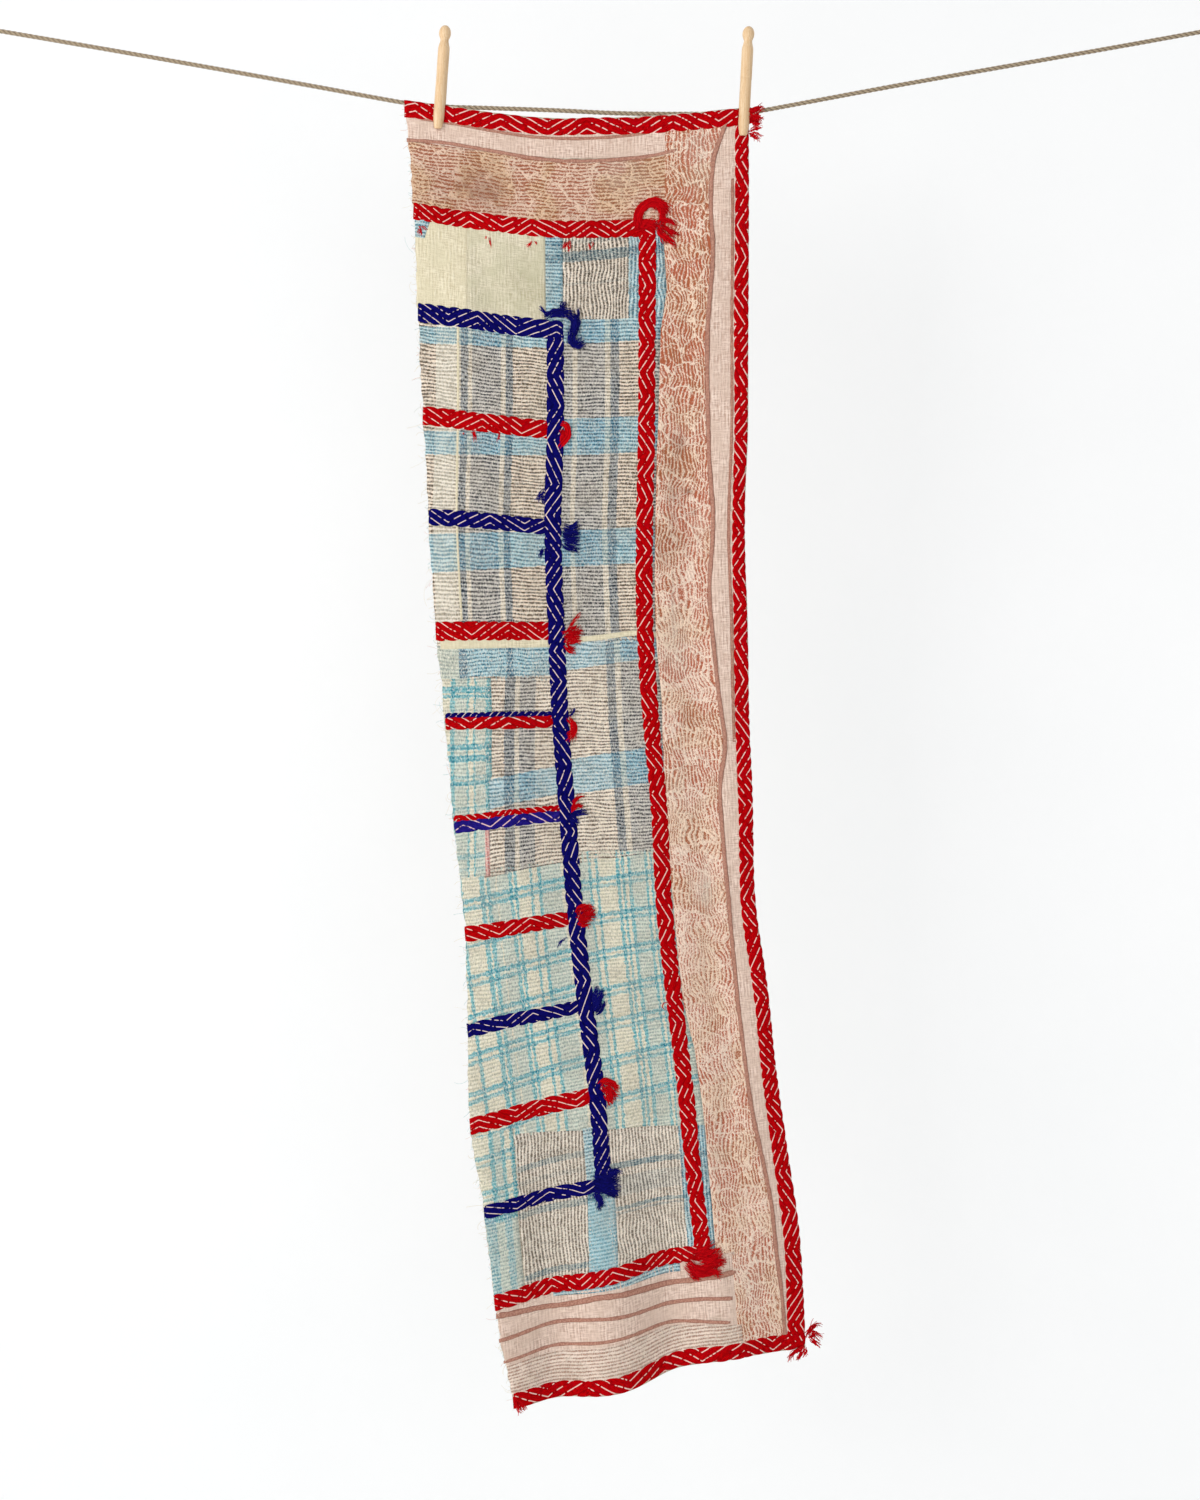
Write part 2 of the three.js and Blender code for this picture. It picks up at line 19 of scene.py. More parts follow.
import bpy
import numpy as np
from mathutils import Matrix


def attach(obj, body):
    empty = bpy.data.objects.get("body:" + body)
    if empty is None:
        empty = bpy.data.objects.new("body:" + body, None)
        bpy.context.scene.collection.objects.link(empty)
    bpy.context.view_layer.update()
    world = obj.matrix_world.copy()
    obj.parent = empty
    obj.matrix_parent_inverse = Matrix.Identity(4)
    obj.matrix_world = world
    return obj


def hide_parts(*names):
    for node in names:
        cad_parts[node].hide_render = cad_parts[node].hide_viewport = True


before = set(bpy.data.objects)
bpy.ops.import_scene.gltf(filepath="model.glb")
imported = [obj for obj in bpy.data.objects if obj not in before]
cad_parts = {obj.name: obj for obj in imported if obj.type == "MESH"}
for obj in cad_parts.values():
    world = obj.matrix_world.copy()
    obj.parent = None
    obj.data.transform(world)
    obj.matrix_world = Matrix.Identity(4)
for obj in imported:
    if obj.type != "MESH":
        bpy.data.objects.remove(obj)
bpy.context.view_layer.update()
MM = 0.001
print("solids in the frame:", len(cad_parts))

# %% [markdown]
# ## A few small helpers
#
# Colours are picked as sRGB hex codes, as from a dyer's card, but Blender mixes
# light in linear values, so one function converts them. One function adds a
# shader node with its settings and inputs. One turns arrays of points and faces
# into a mesh that already sits at the origin, one joins several such parts, and
# one keeps numbers on a mesh for its finish.


# %% Helpers
def dye(code):
    """A hex colour as linear red, green, blue and alpha: the sRGB curve is undone on each channel."""
    channels = np.array([int(code[i : i + 2], 16) for i in (1, 3, 5)]) / 255
    curve = np.where(channels <= 0.04045, channels / 12.92, ((channels + 0.055) / 1.055) ** 2.4)
    return (*curve.tolist(), 1.0)


# The inputs of a noise, in their order, are its place, scale, detail and roughness.
USUAL = {"Mix": {"data_type": "RGBA"}, "TexNoise": {"noise_dimensions": "2D"}, "TexVoronoi": {"voronoi_dimensions": "2D"}}


def add_node(tree, kind, inputs=(), **settings):
    """Adds one shader node. kind may end in an operation. settings are its properties, and stops the
    hard-edged stops of a ramp. inputs are numbers, hex colours, sockets or nodes, for its inputs in their
    order or by name. A node stands for its Fac output, or else for its first output in use."""
    kind, _, operation = kind.partition(" ")
    made = tree.nodes.new("ShaderNode" + kind)
    stops = settings.pop("stops", ())
    if operation:
        settings["operation"] = operation
    for name, value in {**USUAL.get(kind, {}), **settings}.items():
        setattr(made, name, value)
    if stops:
        ramp = made.color_ramp
        ramp.interpolation = "CONSTANT"
        for number, (position, colour) in enumerate(stops):
            stop = ramp.elements[0] if number == 0 else ramp.elements.new(position)
            stop.position, stop.color = position, dye(colour)
        while len(ramp.elements) > len(stops):
            ramp.elements.remove(ramp.elements[-1])
    in_use = [socket for socket in made.inputs if socket.enabled]
    for name, value in inputs.items() if isinstance(inputs, dict) else zip(in_use, inputs):
        socket = made.inputs[name] if isinstance(name, str) else name
        if isinstance(value, bpy.types.Node):
            value = value.outputs.get("Fac") or next(output for output in value.outputs if output.enabled)
        if isinstance(value, bpy.types.NodeSocket):
            tree.links.new(value, socket)
        else:
            socket.default_value = dye(value) if isinstance(value, str) else value
    return made


def mesh_piece(name, points, faces, smooth=True):
    """A mesh object at the origin from points in millimetres and faces of three or four corners.
    A triangle in a table of four has its last corner twice."""
    faces = np.asarray(faces, np.int32).reshape(len(faces), -1)
    size = np.full(len(faces), faces.shape[1])
    if faces.shape[1] == 4:
        size[faces[:, 3] == faces[:, 2]] = 3
    corners = faces[np.arange(faces.shape[1]) < size[:, None]]
    mesh = bpy.data.meshes.new(name)
    mesh.vertices.add(len(points))
    mesh.vertices.foreach_set("co", (np.asarray(points, float) * MM).astype(np.float32).ravel())
    mesh.loops.add(len(corners))
    mesh.loops.foreach_set("vertex_index", corners.astype(np.int32))
    mesh.polygons.add(len(faces))
    mesh.polygons.foreach_set("loop_start", (np.cumsum(size) - size).astype(np.int32))
    mesh.polygons.foreach_set("use_smooth", np.full(len(faces), smooth))
    mesh.update(calc_edges=True)
    piece = bpy.data.objects.new(name, mesh)
    bpy.context.scene.collection.objects.link(piece)
    return piece


def joined(parts):
    """Points and faces of several parts as one mesh."""
    points, faces = zip(*parts)
    starts = np.cumsum([0, *map(len, points[:-1])])
    return np.concatenate(points), np.concatenate([part + start for part, start in zip(faces, starts)])


def keep(piece, uv=None, **values):
    """Keeps numbers per point as attributes, and the place on the cloth (millimetres) as a UV map."""
    mesh = piece.data
    if uv is not None:
        corner = np.empty(len(mesh.loops), np.int32)
        mesh.loops.foreach_get("vertex_index", corner)
        mesh.uv_layers.new(name="weave").data.foreach_set("uv", uv[corner].astype(np.float32).ravel())
    for label, numbers in values.items():
        mesh.attributes.new(label, "FLOAT", "POINT").data.foreach_set("value", numbers.astype(np.float32))


print("dye('#C4060C') =", [round(channel, 3) for channel in dye("#C4060C")])

# %% [markdown]
# ## Camera
#
# The cloth is looked at from 2.1 m away, level with its middle, with a 50 mm lens.

# %% Camera
scene = bpy.context.scene
scene.view_settings.view_transform = "Standard"
camera = bpy.data.objects.new("camera", bpy.data.cameras.new("camera"))
camera.data.lens = 50
camera.data.sensor_width = 36
camera.location = (0.6446, -2.125, -0.739)
camera.rotation_euler = (math.pi / 2, 0, 0)
scene.collection.objects.link(camera)
scene.camera = camera
print("camera distance in metres:", -camera.location.y)

# %% [markdown]
# ## The line
#
# The line is a three-strand twine of jute. Three round strands are laid round
# each other in a spiral, so its outline is a clover leaf that turns as it goes.
# A plain tube with a painted spiral would be lighter, but the strands' edges are
# what the eye reads as rope, so the clover outline is carried along the route
# and turned. The cloth's weight draws the line down between the pegs, and each
# peg presses its back flat. At both ends, past the edge of the view, it is
# knotted into a loop.


# %% Rope along a route
def smooth_route(points, spacing):
    """Evenly spaced points on a Catmull-Rom curve: cubic pieces whose slope at each point is half
    the step between its neighbours. Returns the points and their distance along the curve."""
    points = np.asarray(points, float)
    ends = np.concatenate([[2 * points[0] - points[1]], points, [2 * points[-1] - points[-2]]])
    t = np.linspace(0, 1, 60)[:, None, None]
    before, start, finish, after = ends[:-3], ends[1:-2], ends[2:-1], ends[3:]
    curve = 0.5 * (2 * start + (finish - before) * t + (2 * before - 5 * start + 4 * finish - after) * t**2
                   + (3 * start - before - 3 * finish + after) * t**3)
    curve = curve.transpose(1, 0, 2).reshape(-1, 3)
    along = np.concatenate([[0], np.cumsum(np.linalg.norm(np.diff(curve, axis=0), axis=1))])
    even = np.linspace(0, along[-1], max(3, round(along[-1] / spacing) + 1))
    return np.stack([np.interp(even, along, curve[:, k]) for k in range(3)], axis=1), even


def crosswise(centres, up):
    """Two directions square to a route at each of its points, the first as near to up as can be."""
    ahead = np.gradient(centres, axis=0)
    ahead /= np.linalg.norm(ahead, axis=1, keepdims=True)
    first = np.asarray(up) - (ahead @ np.asarray(up))[:, None] * ahead
    first /= np.linalg.norm(first, axis=1, keepdims=True)
    return first, np.cross(ahead, first)


def skin(rings, centres):
    """Points and faces of a closed tube: each ring is joined to the next, and the first and last
    are closed by fans to their centres. rings is (rings, points round, xyz)."""
    count, sides = rings.shape[:2]
    row, side = np.meshgrid(np.arange(count - 1) * sides, np.arange(sides), indexing="ij")
    after = (side + 1) % sides
    walls = np.stack([row + side, row + after, row + sides + after, row + sides + side], -1).reshape(-1, 4)
    side, after = np.arange(sides), (np.arange(sides) + 1) % sides
    start, end = np.full(sides, count * sides), np.full(sides, count * sides + 1)
    last = (count - 1) * sides
    fans = [np.stack([start, after, side, side], -1), np.stack([end, last + side, last + after, last + after], -1)]
    return np.concatenate([rings.reshape(-1, 3), centres[[0, -1]]]), np.concatenate([walls, *fans])


TWINE = 4.6  # diameter
LAY = 17.0  # length of one turn of the strands
STRANDS = 3


def rope(points, diameter=TWINE, spacing=1.3, flat_at=(), up=(0, 1, 0)):
    """A laid rope along a route. Its outline at angle a is radius (1 - groove + groove |cos(3 a / 2)|),
    turned by distance over the lay. flat_at lists (x, depth, reach) where its back is pressed in.
    Returns its points and faces, and the strand angle and the distance along at each point."""
    centres, along = smooth_route(points, spacing)
    first, second = crosswise(centres, up)
    angle = np.linspace(0, 2 * np.pi, 24, endpoint=False)
    turned = angle[None] - 2 * np.pi * along[:, None] / LAY
    groove = 0.3
    radius = diameter / 2 * (1 - groove + groove * np.abs(np.cos(STRANDS / 2 * turned)) ** 0.8)
    fuzz = np.random.default_rng(3).normal(0, 0.012 * diameter, radius.shape)
    forward, across = (radius + fuzz) * np.cos(angle), (radius + fuzz) * np.sin(angle)
    for x, depth, reach in flat_at:
        near = np.clip(1.6 - np.abs(centres[:, 0] - x) / reach, 0, 1)[:, None]
        forward = np.minimum(forward, diameter / 2 - depth * near)
    rings = centres[:, None] + forward[..., None] * first[:, None] + across[..., None] * second[:, None]
    with_ends = lambda grid: np.append(grid.ravel(), grid[[0, -1], 0])
    return *skin(rings, centres), with_ends(turned), with_ends(along[:, None] + 0 * turned)


def rope_piece(name, *ropes):
    """Ropes as one piece, with their strand angle and distance along kept for the finish."""
    made = mesh_piece(name, *joined([part[:2] for part in ropes]))
    keep(made, strand=np.concatenate([part[2] for part in ropes]), along=np.concatenate([part[3] for part in ropes]))
    return made


LINE_ROUTE = [  # x, z: from knot to knot, drawn down by the cloth between the pegs
    (25.9, -4.5), (135, -23.2), (245, -42.6), (350, -61.5), (446, -79), (481.5, -82.6), (530, -84.2),
    (600, -86.6), (660, -89.4), (720, -90.2), (791.5, -89.6), (812, -86.4), (850, -79.4), (950, -60.8),
    (1052, -42.9), (1160, -24), (1263.1, -5.5),
]
PRESSED = [(481.5, 1.4, 9.0), (791.5, 1.4, 9.0)]  # x, depth and reach of each peg's pinch
line_places = [(x, 0, z) for x, z in LINE_ROUTE]
line = rope_piece("line_twine", rope(line_places, flat_at=PRESSED))
line_centres = smooth_route(line_places, 1.3)[0]
print("line:", len(line_centres), "rings,", len(line.data.polygons), "faces")


# %% End loops
def loop_route():
    """The loop lies along +X from the place where its hook bears: a round end, two legs into the
    knot, in millimetres from that place."""
    turn = np.linspace(0.58 * np.pi, 1.42 * np.pi, 9)
    leg = np.array([[12.0, 3.9], [20.0, 2.4]])
    upper = np.stack([3.7 + 6 * np.cos(turn), 6 * np.sin(turn)], 1)
    return np.concatenate([leg[::-1], upper, leg * [1, -1]])


def knot_route():
    """An overhand knot drawn tight: one and a half turns round the two legs, with its end hanging."""
    turn = np.linspace(0, 3.3 * np.pi, 22)
    coil = np.stack([16.4 + 7.2 * turn / turn[-1], 2.9 * np.cos(turn), 2.9 * np.sin(turn)], 1)
    return np.concatenate([coil, [(23.4, -1.0, -4.6), (22.6, 0.2, -10.5), (21.4, 0.9, -18.0)]])


def end_loop(name, bearing, facing):
    """A loop, its knot and free end. facing is 1 where the line runs on to the right, else -1."""
    place = lambda points: np.asarray(bearing) + np.asarray(points, float) * [facing, 1, 1]
    flat = loop_route()
    return rope_piece(
        name,
        rope(place(np.stack([flat[:, 0], 0 * flat[:, 0], flat[:, 1]], 1)), diameter=4.4, spacing=1.0),
        rope(place(knot_route()), diameter=3.9, spacing=1.0, up=(0.96, 0.2, 0.2)),
        rope(place([(15, 0, 0), (20, 0.1, 0.05), (25.9, 0, 0)]), diameter=4.5))


loop_left = end_loop("loop_left_twine", (0, 0, 0), 1)
loop_right = end_loop("loop_right_twine", (1289, 0, -1), -1)
print("loops:", loop_left.name, loop_right.name)

# %% [markdown]
# Jute is a dry, grey-tan bast fibre. The grooves between the strands are darkened
# as painted shade, fine fibres lie along each strand, and the twine is lighter in
# some stretches than in others. It has no shine to speak of.


# %% Twine finish
def bare_tree(name):
    """A new material with an empty node tree, and the function that adds nodes to it."""
    made = bpy.data.materials.new(name)
    made.use_nodes = True
    made.node_tree.nodes.clear()
    return made, partial(add_node, made.node_tree)


def cover(add, colour, feel, relief=None, strength=0.0, distance=0.0):
    """Ends a finish: one surface in a colour, with the settings of its feel and a fine relief."""
    inputs = {"Base Color": colour, **feel}
    if relief is not None:
        inputs["Normal"] = add("Bump", {"Height": relief, "Strength": strength, "Distance": distance})
    add("OutputMaterial", {"Surface": add("BsdfPrincipled", inputs)})


jute, add = bare_tree("jute_twine")
strand, along = (add("Attribute", attribute_name=kept) for kept in ("strand", "along"))
ridge = add("Math ABSOLUTE", (add("Math COSINE", (add("Math MULTIPLY", (strand, STRANDS / 2)),)),))
fibre_place = add("CombineXYZ", (add("Math MULTIPLY", (strand, 2.2)), add("Math MULTIPLY", (along, 0.22)), 0.0))
fibres = add("TexNoise", (fibre_place, 2.6, 4.0, 0.65), noise_dimensions="3D")
stretch_place = add("CombineXYZ", (0.0, add("Math MULTIPLY", (along, 0.03)), 0.0))
stretches = add("TexNoise", (stretch_place, 1.0, 3.0), noise_dimensions="3D")
fibre_tone = add("Mix", (fibres, "#7C6A52", "#BBA68A"))
stretch_tone = add("Mix", (stretches, "#9E8B70", "#B5A389"))
lit = add("Mix", (0.45, fibre_tone, stretch_tone))
# Painted shade: the grooves between the strands are darkened towards #574634
groove_shade_mask = add("MapRange", (ridge, 0.0, 0.75))
shade = add("Mix", (groove_shade_mask, "#574634", lit))
cover(add, shade, {"Roughness": 0.92, "Sheen Weight": 0.25, "Sheen Roughness": 0.5}, fibres, 0.5, 0.0004)
for made in (line, loop_left, loop_right):
    made.data.materials.append(jute)
print("material:", jute.name)

# %% [markdown]
# ## Room and light
#
# The cloth hangs in front of a limewashed wall in a bright room. The light is
# overcast daylight from the front left, so every shadow is soft. The wall is
# there only when it is seen from the front, so that the back of the cloth can be
# looked at too. The lamps stay low enough that the palest cotton keeps its
# texture.


# %% Room
def stage_plane(name, corners, finish):
    """A flat four-cornered piece of the room, in metres."""
    made = mesh_piece(name, np.array(corners) / MM, [[0, 1, 2, 3]], smooth=False)
    made.data.materials.append(finish)
    return made


floor_paint, add = bare_tree("floor_paint")
cover(add, "#EEF0F0", {"Roughness": 0.9})
FLOOR_Z, WALL_Y = -1.75, 0.3
stage_plane("floor", [(-4, -4, FLOOR_Z), (5.3, -4, FLOOR_Z), (5.3, 4, FLOOR_Z), (-4, 4, FLOOR_Z)], floor_paint)

limewash, add = bare_tree("limewashed_wall")
place = add("TexCoord").outputs["Object"]
brushed = add("TexNoise", (place, 2.2, 5.0, 0.6), noise_dimensions="3D")
tone = add("Mix", (brushed, "#F8F9F9", "#FFFFFF"))
plaster = add("BsdfDiffuse", {"Color": tone})
looked_at = add("Math MULTIPLY", (add("LightPath").outputs["Is Camera Ray"], 0.72))
plaster = add("MixShader", (looked_at, plaster, add("Emission", {"Color": tone})))
lime = add("MixShader", (add("NewGeometry").outputs["Backfacing"], plaster, add("BsdfTransparent")))
add("OutputMaterial", {"Surface": lime})
stage_plane("wall", [(-2.4, WALL_Y, FLOOR_Z), (3.7, WALL_Y, FLOOR_Z), (3.7, WALL_Y, 1.4), (-2.4, WALL_Y, 1.4)], limewash)


# %% Light
def soft_lamp(name, size, power, place, target):
    """A square lamp that faces a target, both in metres."""
    light = bpy.data.lights.new(name, "AREA")
    light.size, light.energy = size, power
    made = bpy.data.objects.new(name, light)
    aim = np.array(target) - np.array(place)
    made.location = place
    made.rotation_euler = (math.acos(-aim[2] / np.linalg.norm(aim)), 0, math.atan2(-aim[0], aim[1]))
    scene.collection.objects.link(made)


soft_lamp("window_left", 1.8, 78, (-2.0, -2.3, 0.3), (0.64, 0, -0.75))
soft_lamp("window_front", 2.6, 32, (1.8, -3.2, -0.5), (0.64, 0, -0.75))
world = bpy.data.worlds.new("overcast")
scene.world = world
world.use_nodes = True
world.node_tree.nodes.clear()
add = partial(add_node, world.node_tree)
ray = add("LightPath").outputs
looked_at = add("Math MAXIMUM", (ray["Is Camera Ray"], ray["Is Glossy Ray"]))
looked_at = add("Math MAXIMUM", (looked_at, ray["Is Transmission Ray"]))
sky = add("Background", {"Color": "#F2F5F8", "Strength": 0.45})
white = add("Background", {"Color": "#FAFBFB", "Strength": 1.0})
add("OutputWorld", {"Surface": add("MixShader", (looked_at, sky, white))})

# %% [markdown]
# ## The hanging cloth as a surface
#
# The cloth is measured where its bands cross it: fourteen sections, each with the
# place of four lines that run down it (the raw cut edge, the navy band, the inner
# red band and the outer edge). A smooth curve through those places, down and then
# across, gives a point for any distance `u` across (from the navy band) and `v`
# down. A cloth simulation could hang it too, but it would not land on these folds,
# so the folds are listed as soft troughs and ridges. Distances along the
# cloth keep their real length, so the weave is never stretched.

# %% Sections and folds
SECTIONS = [
    # cut x, z, navy x, z, inner red x, z, outer edge x, z, turn in degrees, crossing band, border band
    (-191, 9, -37, -9.5, 57, -7.5, 160, 1.5, 0, 17.8, 14),  # top edge
    (-180.5, -106, -37.5, -124, 57, -121, 160.5, -115, 2, 18, 14.5),  # inner top
    (-175.5, -209.5, -37, -226, 56.5, -225.5, 160.5, -220, 4, 20, 15),  # rung 1
    (-170, -316, -37, -328, 56, -327.5, 160.5, -324, 6, 19, 15),
    (-163.5, -418, -39.5, -426.5, 54, -425.5, 157.5, -423, 8, 16, 13),
    (-156, -534.5, -36, -531.5, 54.5, -529, 161, -526, 10, 19, 15.5),
    (-146.5, -624.5, -32, -622.5, 60.5, -621, 162.5, -617.5, 11.5, 16.5, 15),
    (-137.5, -728, -24.5, -717, 69, -714.5, 166.5, -711, 13, 16.5, 15),
    (-126, -837.5, -16, -823, 74.5, -818, 170, -813.5, 14.5, 15.5, 16),
    (-123.5, -932, -6, -912, 84, -903.5, 182, -897.5, 16, 14, 16),
    (-120.5, -1027.5, 5, -1002.5, 95, -992.5, 191.5, -982.5, 17, 17.5, 16.5),
    (-106.5, -1112.5, 12.5, -1092.5, 104, -1082, 204, -1070.5, 18, 14.5, 17),  # rung 10
    (-96, -1202.5, 20.5, -1184, 114, -1167.5, 216.5, -1159.5, 18.5, 17, 18),  # inner bottom
    (-76.5, -1308, 29.5, -1301.5, 121.5, -1281, 222.5, -1276.5, 19, 17, 20),  # bottom edge
]
FOLDS = [
    # across at its top, lean, from, to, ease, width, depth (away from the face), lift
    (-15, 0, 30, 190, 60, 62, -5, 0),  # slack between the pegs
    (-112, 0.35, 60, 250, 50, 20, 3, 0),  # pull below the left peg
    (168, -0.1, 60, 330, 50, 20, -3, 0),  # pull below the right peg
    (-70, 0, 230, 900, 160, 46, -6, 0),  # belly of the field
    (140, 0, 190, 1150, 110, 22, 5, 0),  # trough down the border
    (-67, 0, 1090, 1500, 300, 30, 9, 3),  # hollows and flutes at the hem
    (0, 0, 1070, 1500, 300, 30, -7, 0),
    (58, 0, 1090, 1500, 300, 28, 8, 2),
    (122, 0, 1070, 1500, 300, 30, -7, 0),
]
HANG = np.array([636.0, 0.0, -86.0])  # middle of the line between the pegs
HALF_CLOTH = 0.75  # half the thickness of the quilt
SHEET_Y = -(TWINE / 2 + 0.3 + HALF_CLOTH)


def through(x, xs, ys, first_slope=None):
    """A smooth curve through the points (xs, ys): cubic pieces whose slope at each point is the mean
    of the slopes on its two sides, weighted by nearness. Straight on past both ends."""
    x = np.atleast_1d(np.asarray(x, float))
    xs, ys = (np.asarray(a, float).reshape(len(a), -1) + np.zeros((1, len(x))) for a in (xs, ys))
    span = np.diff(xs, axis=0)
    chord = np.diff(ys, axis=0) / span
    slopes = np.concatenate([chord[:1], chord[-1:]])
    if first_slope is not None:
        slopes[0] = first_slope
    inner = (chord[:-1] * span[1:] + chord[1:] * span[:-1]) / (span[:-1] + span[1:])
    slopes = np.concatenate([slopes[:1], inner, slopes[1:]])
    i = (x > xs[1:-1]).sum(0)
    at = lambda a, k=0: np.take_along_axis(a, (i + k)[None], 0)[0]
    t = (x - at(xs)) / at(span)
    cubic = ((2 * t**3 - 3 * t**2 + 1) * at(ys) + (t**3 - 2 * t**2 + t) * at(span) * at(slopes)
             + (3 * t**2 - 2 * t**3) * at(ys, 1) + (t**3 - t**2) * at(span) * at(slopes, 1))
    cubic = np.where(t < 0, at(ys) + at(slopes) * (x - at(xs)), cubic)
    return np.where(t > 1, at(ys, 1) + at(slopes, 1) * (x - at(xs, 1)), cubic)


def ease(x, start, end):
    """0 before start, 1 after end, and 3 t^2 - 2 t^3 between them."""
    t = np.clip((x - start) / (end - start), 0, 1)
    return t * t * (3 - 2 * t)


table = np.array(SECTIONS)
line_x, line_z = table[:, 0:8:2], table[:, 1:8:2]
middle = (line_x[:, :1] + line_x[:, 3:]) / 2
line_y = (line_x - middle) * np.tan(np.radians(table[:, 8:9]))
places = np.stack([line_x, line_y, line_z], axis=2)  # section, line, xyz
DOWN = np.concatenate([[0], np.cumsum(np.linalg.norm(np.diff(places[:, 1], axis=0), axis=1))])
gaps = np.linalg.norm(np.diff(places, axis=1), axis=2)
ACROSS = np.stack([-gaps[:, 0], 0 * gaps[:, 0], gaps[:, 1], gaps[:, 1] + gaps[:, 2]], axis=1)
LENGTH = DOWN[-1]
BAND, BORDER = table[:, 9], table[:, 10]


def line_at(number):
    """Distance across from the navy band to one of the four lines, as a function of v."""
    return lambda v: through(np.ravel(v), DOWN, ACROSS[:, number]).reshape(np.shape(v))


cut_edge, red_line, outer_edge = line_at(0), line_at(2), line_at(3)


def hanging(u, v):
    """A point of the sheet's middle: along the four lines at v, then across them at u, then pushed
    by each fold: depth times exp(-(distance / width)^2), faded in and out down the cloth."""
    shape = np.shape(u)
    u, v = np.ravel(u), np.ravel(v)
    stations = np.stack([through(v, DOWN, ACROSS[:, k]) for k in range(4)])
    point = [
        through(u, stations, np.stack([through(v, DOWN, lines[:, k], first) for k in range(4)]))
        for lines, first in ((line_x, None), (line_y, 0), (line_z, None))
    ]
    for across, lean, start, end, soft, width, depth, lift in FOLDS:
        strength = np.exp(-(((u - across - lean * (v - start)) / width) ** 2))
        strength *= ease(v, start - soft / 2, start + soft / 2) * (1 - ease(v, end - soft / 2, end + soft / 2))
        point[1] = point[1] + depth * strength
        point[2] = point[2] + lift * strength
    return (np.stack([point[0], point[1] + SHEET_Y, point[2]], axis=1) + HANG).reshape(*shape, 3)


print(f"cloth: {LENGTH:.0f} mm long, {ACROSS[0, 3] - ACROSS[0, 0]:.0f} mm wide at the top")

# %% [markdown]
# ## Puckers
#
# Every row of quilting draws the cloth in a little, so an old kantha is never
# flat: it is covered in soft puckers a fingertip wide. They are smooth noise,
# random heights on a coarse lattice with cubic curves between them, in three
# sizes. The surface with its puckers is worked out once on a fine table, and
# every stitch, band and thread looks its place up there, so that all of them
# follow the same cloth.


# %% Noise and the surface table
LATTICE = 257  # sides of the table of random heights


def soft_noise(u, v, size_u, size_v, seed):
    """Smooth noise from about -1 to 1: random lattice values, blended by 3 t^2 - 2 t^3."""
    lattice = np.random.default_rng(seed).uniform(-1, 1, (LATTICE, LATTICE))
    x, y = np.asarray(u) / size_u + 100, np.asarray(v) / size_v + 20
    i, j = np.floor(x).astype(int), np.floor(y).astype(int)
    a, b = ease(x - i, 0, 1), ease(y - j, 0, 1)
    near = lambda k, m: lattice[(i + k) % LATTICE, (j + m) % LATTICE]
    return (near(0, 0) * (1 - a) + near(1, 0) * a) * (1 - b) + (near(0, 1) * (1 - a) + near(1, 1) * a) * b


def puckers(u, v):
    """Height of the puckers. In the border they are longer down the cloth than across."""
    in_border = ease(u - red_line(v), 5, 40)
    fine = soft_noise(u, v, 9, 15, 11) * 0.28 + soft_noise(u, v, 21, 9, 12) * 0.3 * (1 - in_border)
    long = soft_noise(u, v, 9, 46, 13) * 0.7 * in_border
    broad = soft_noise(u, v, 34, 52, 14) * 0.9
    return fine + long + broad


STEP = 2.0
U0, V0 = -172.0, -14.0
table_u, table_v = np.meshgrid(np.arange(U0, 234, STEP), np.arange(V0, 1316, STEP), indexing="ij")
table_point = hanging(table_u, table_v)


def outward(points):
    """Unit vectors out of the stitched face of a (u, v) grid of points: step down cross step across."""
    normal = np.cross(np.gradient(points, axis=1), np.gradient(points, axis=0))
    return normal / np.linalg.norm(normal, axis=2, keepdims=True)


table_point = table_point + outward(table_point) * puckers(table_u, table_v)[..., None]
table_out = outward(table_point)


def on_cloth(u, v, lift=0.0):
    """A point lifted from the sheet's middle, looked up between the four nearest table points."""
    x = np.clip((np.asarray(u, float) - U0) / STEP, 0, table_u.shape[0] - 1.001)
    y = np.clip((np.asarray(v, float) - V0) / STEP, 0, table_u.shape[1] - 1.001)
    x, y = np.broadcast_arrays(x, y)
    i, j = x.astype(int), y.astype(int)
    a, b = (x - i)[..., None], (y - j)[..., None]
    mix = lambda t: ((t[i, j] * (1 - a) + t[i + 1, j] * a) * (1 - b)
                     + (t[i, j + 1] * (1 - a) + t[i + 1, j + 1] * a) * b)
    return mix(table_point) + mix(table_out) * np.asarray(lift, float)[..., None]


print("outward at the middle:", table_out[100, 300].round(2), " puckers:", puckers(table_u, table_v).std().round(2))

# %% [markdown]
# ## The patches
#
# The face is pieced from old saris: a madras plaid, a teal window check, plain
# cream khadi and a block-printed border. Painting all of them on one sheet would
# be quick, but a real patch has an edge, its own direction of stitching and its
# own wear. So each patch is a thin closed sheet laid on the quilt's ground, and its
# running stitches are raised on it one by one.
#
# A patch is a grid between four edges. Its stitch rows are the places where a
# phase, distance over row spacing, is a whole number. The phase wanders with soft
# noise, as rows sewn by eye do. It is kept on every vertex, so the material can
# shade the valleys between the same rows.

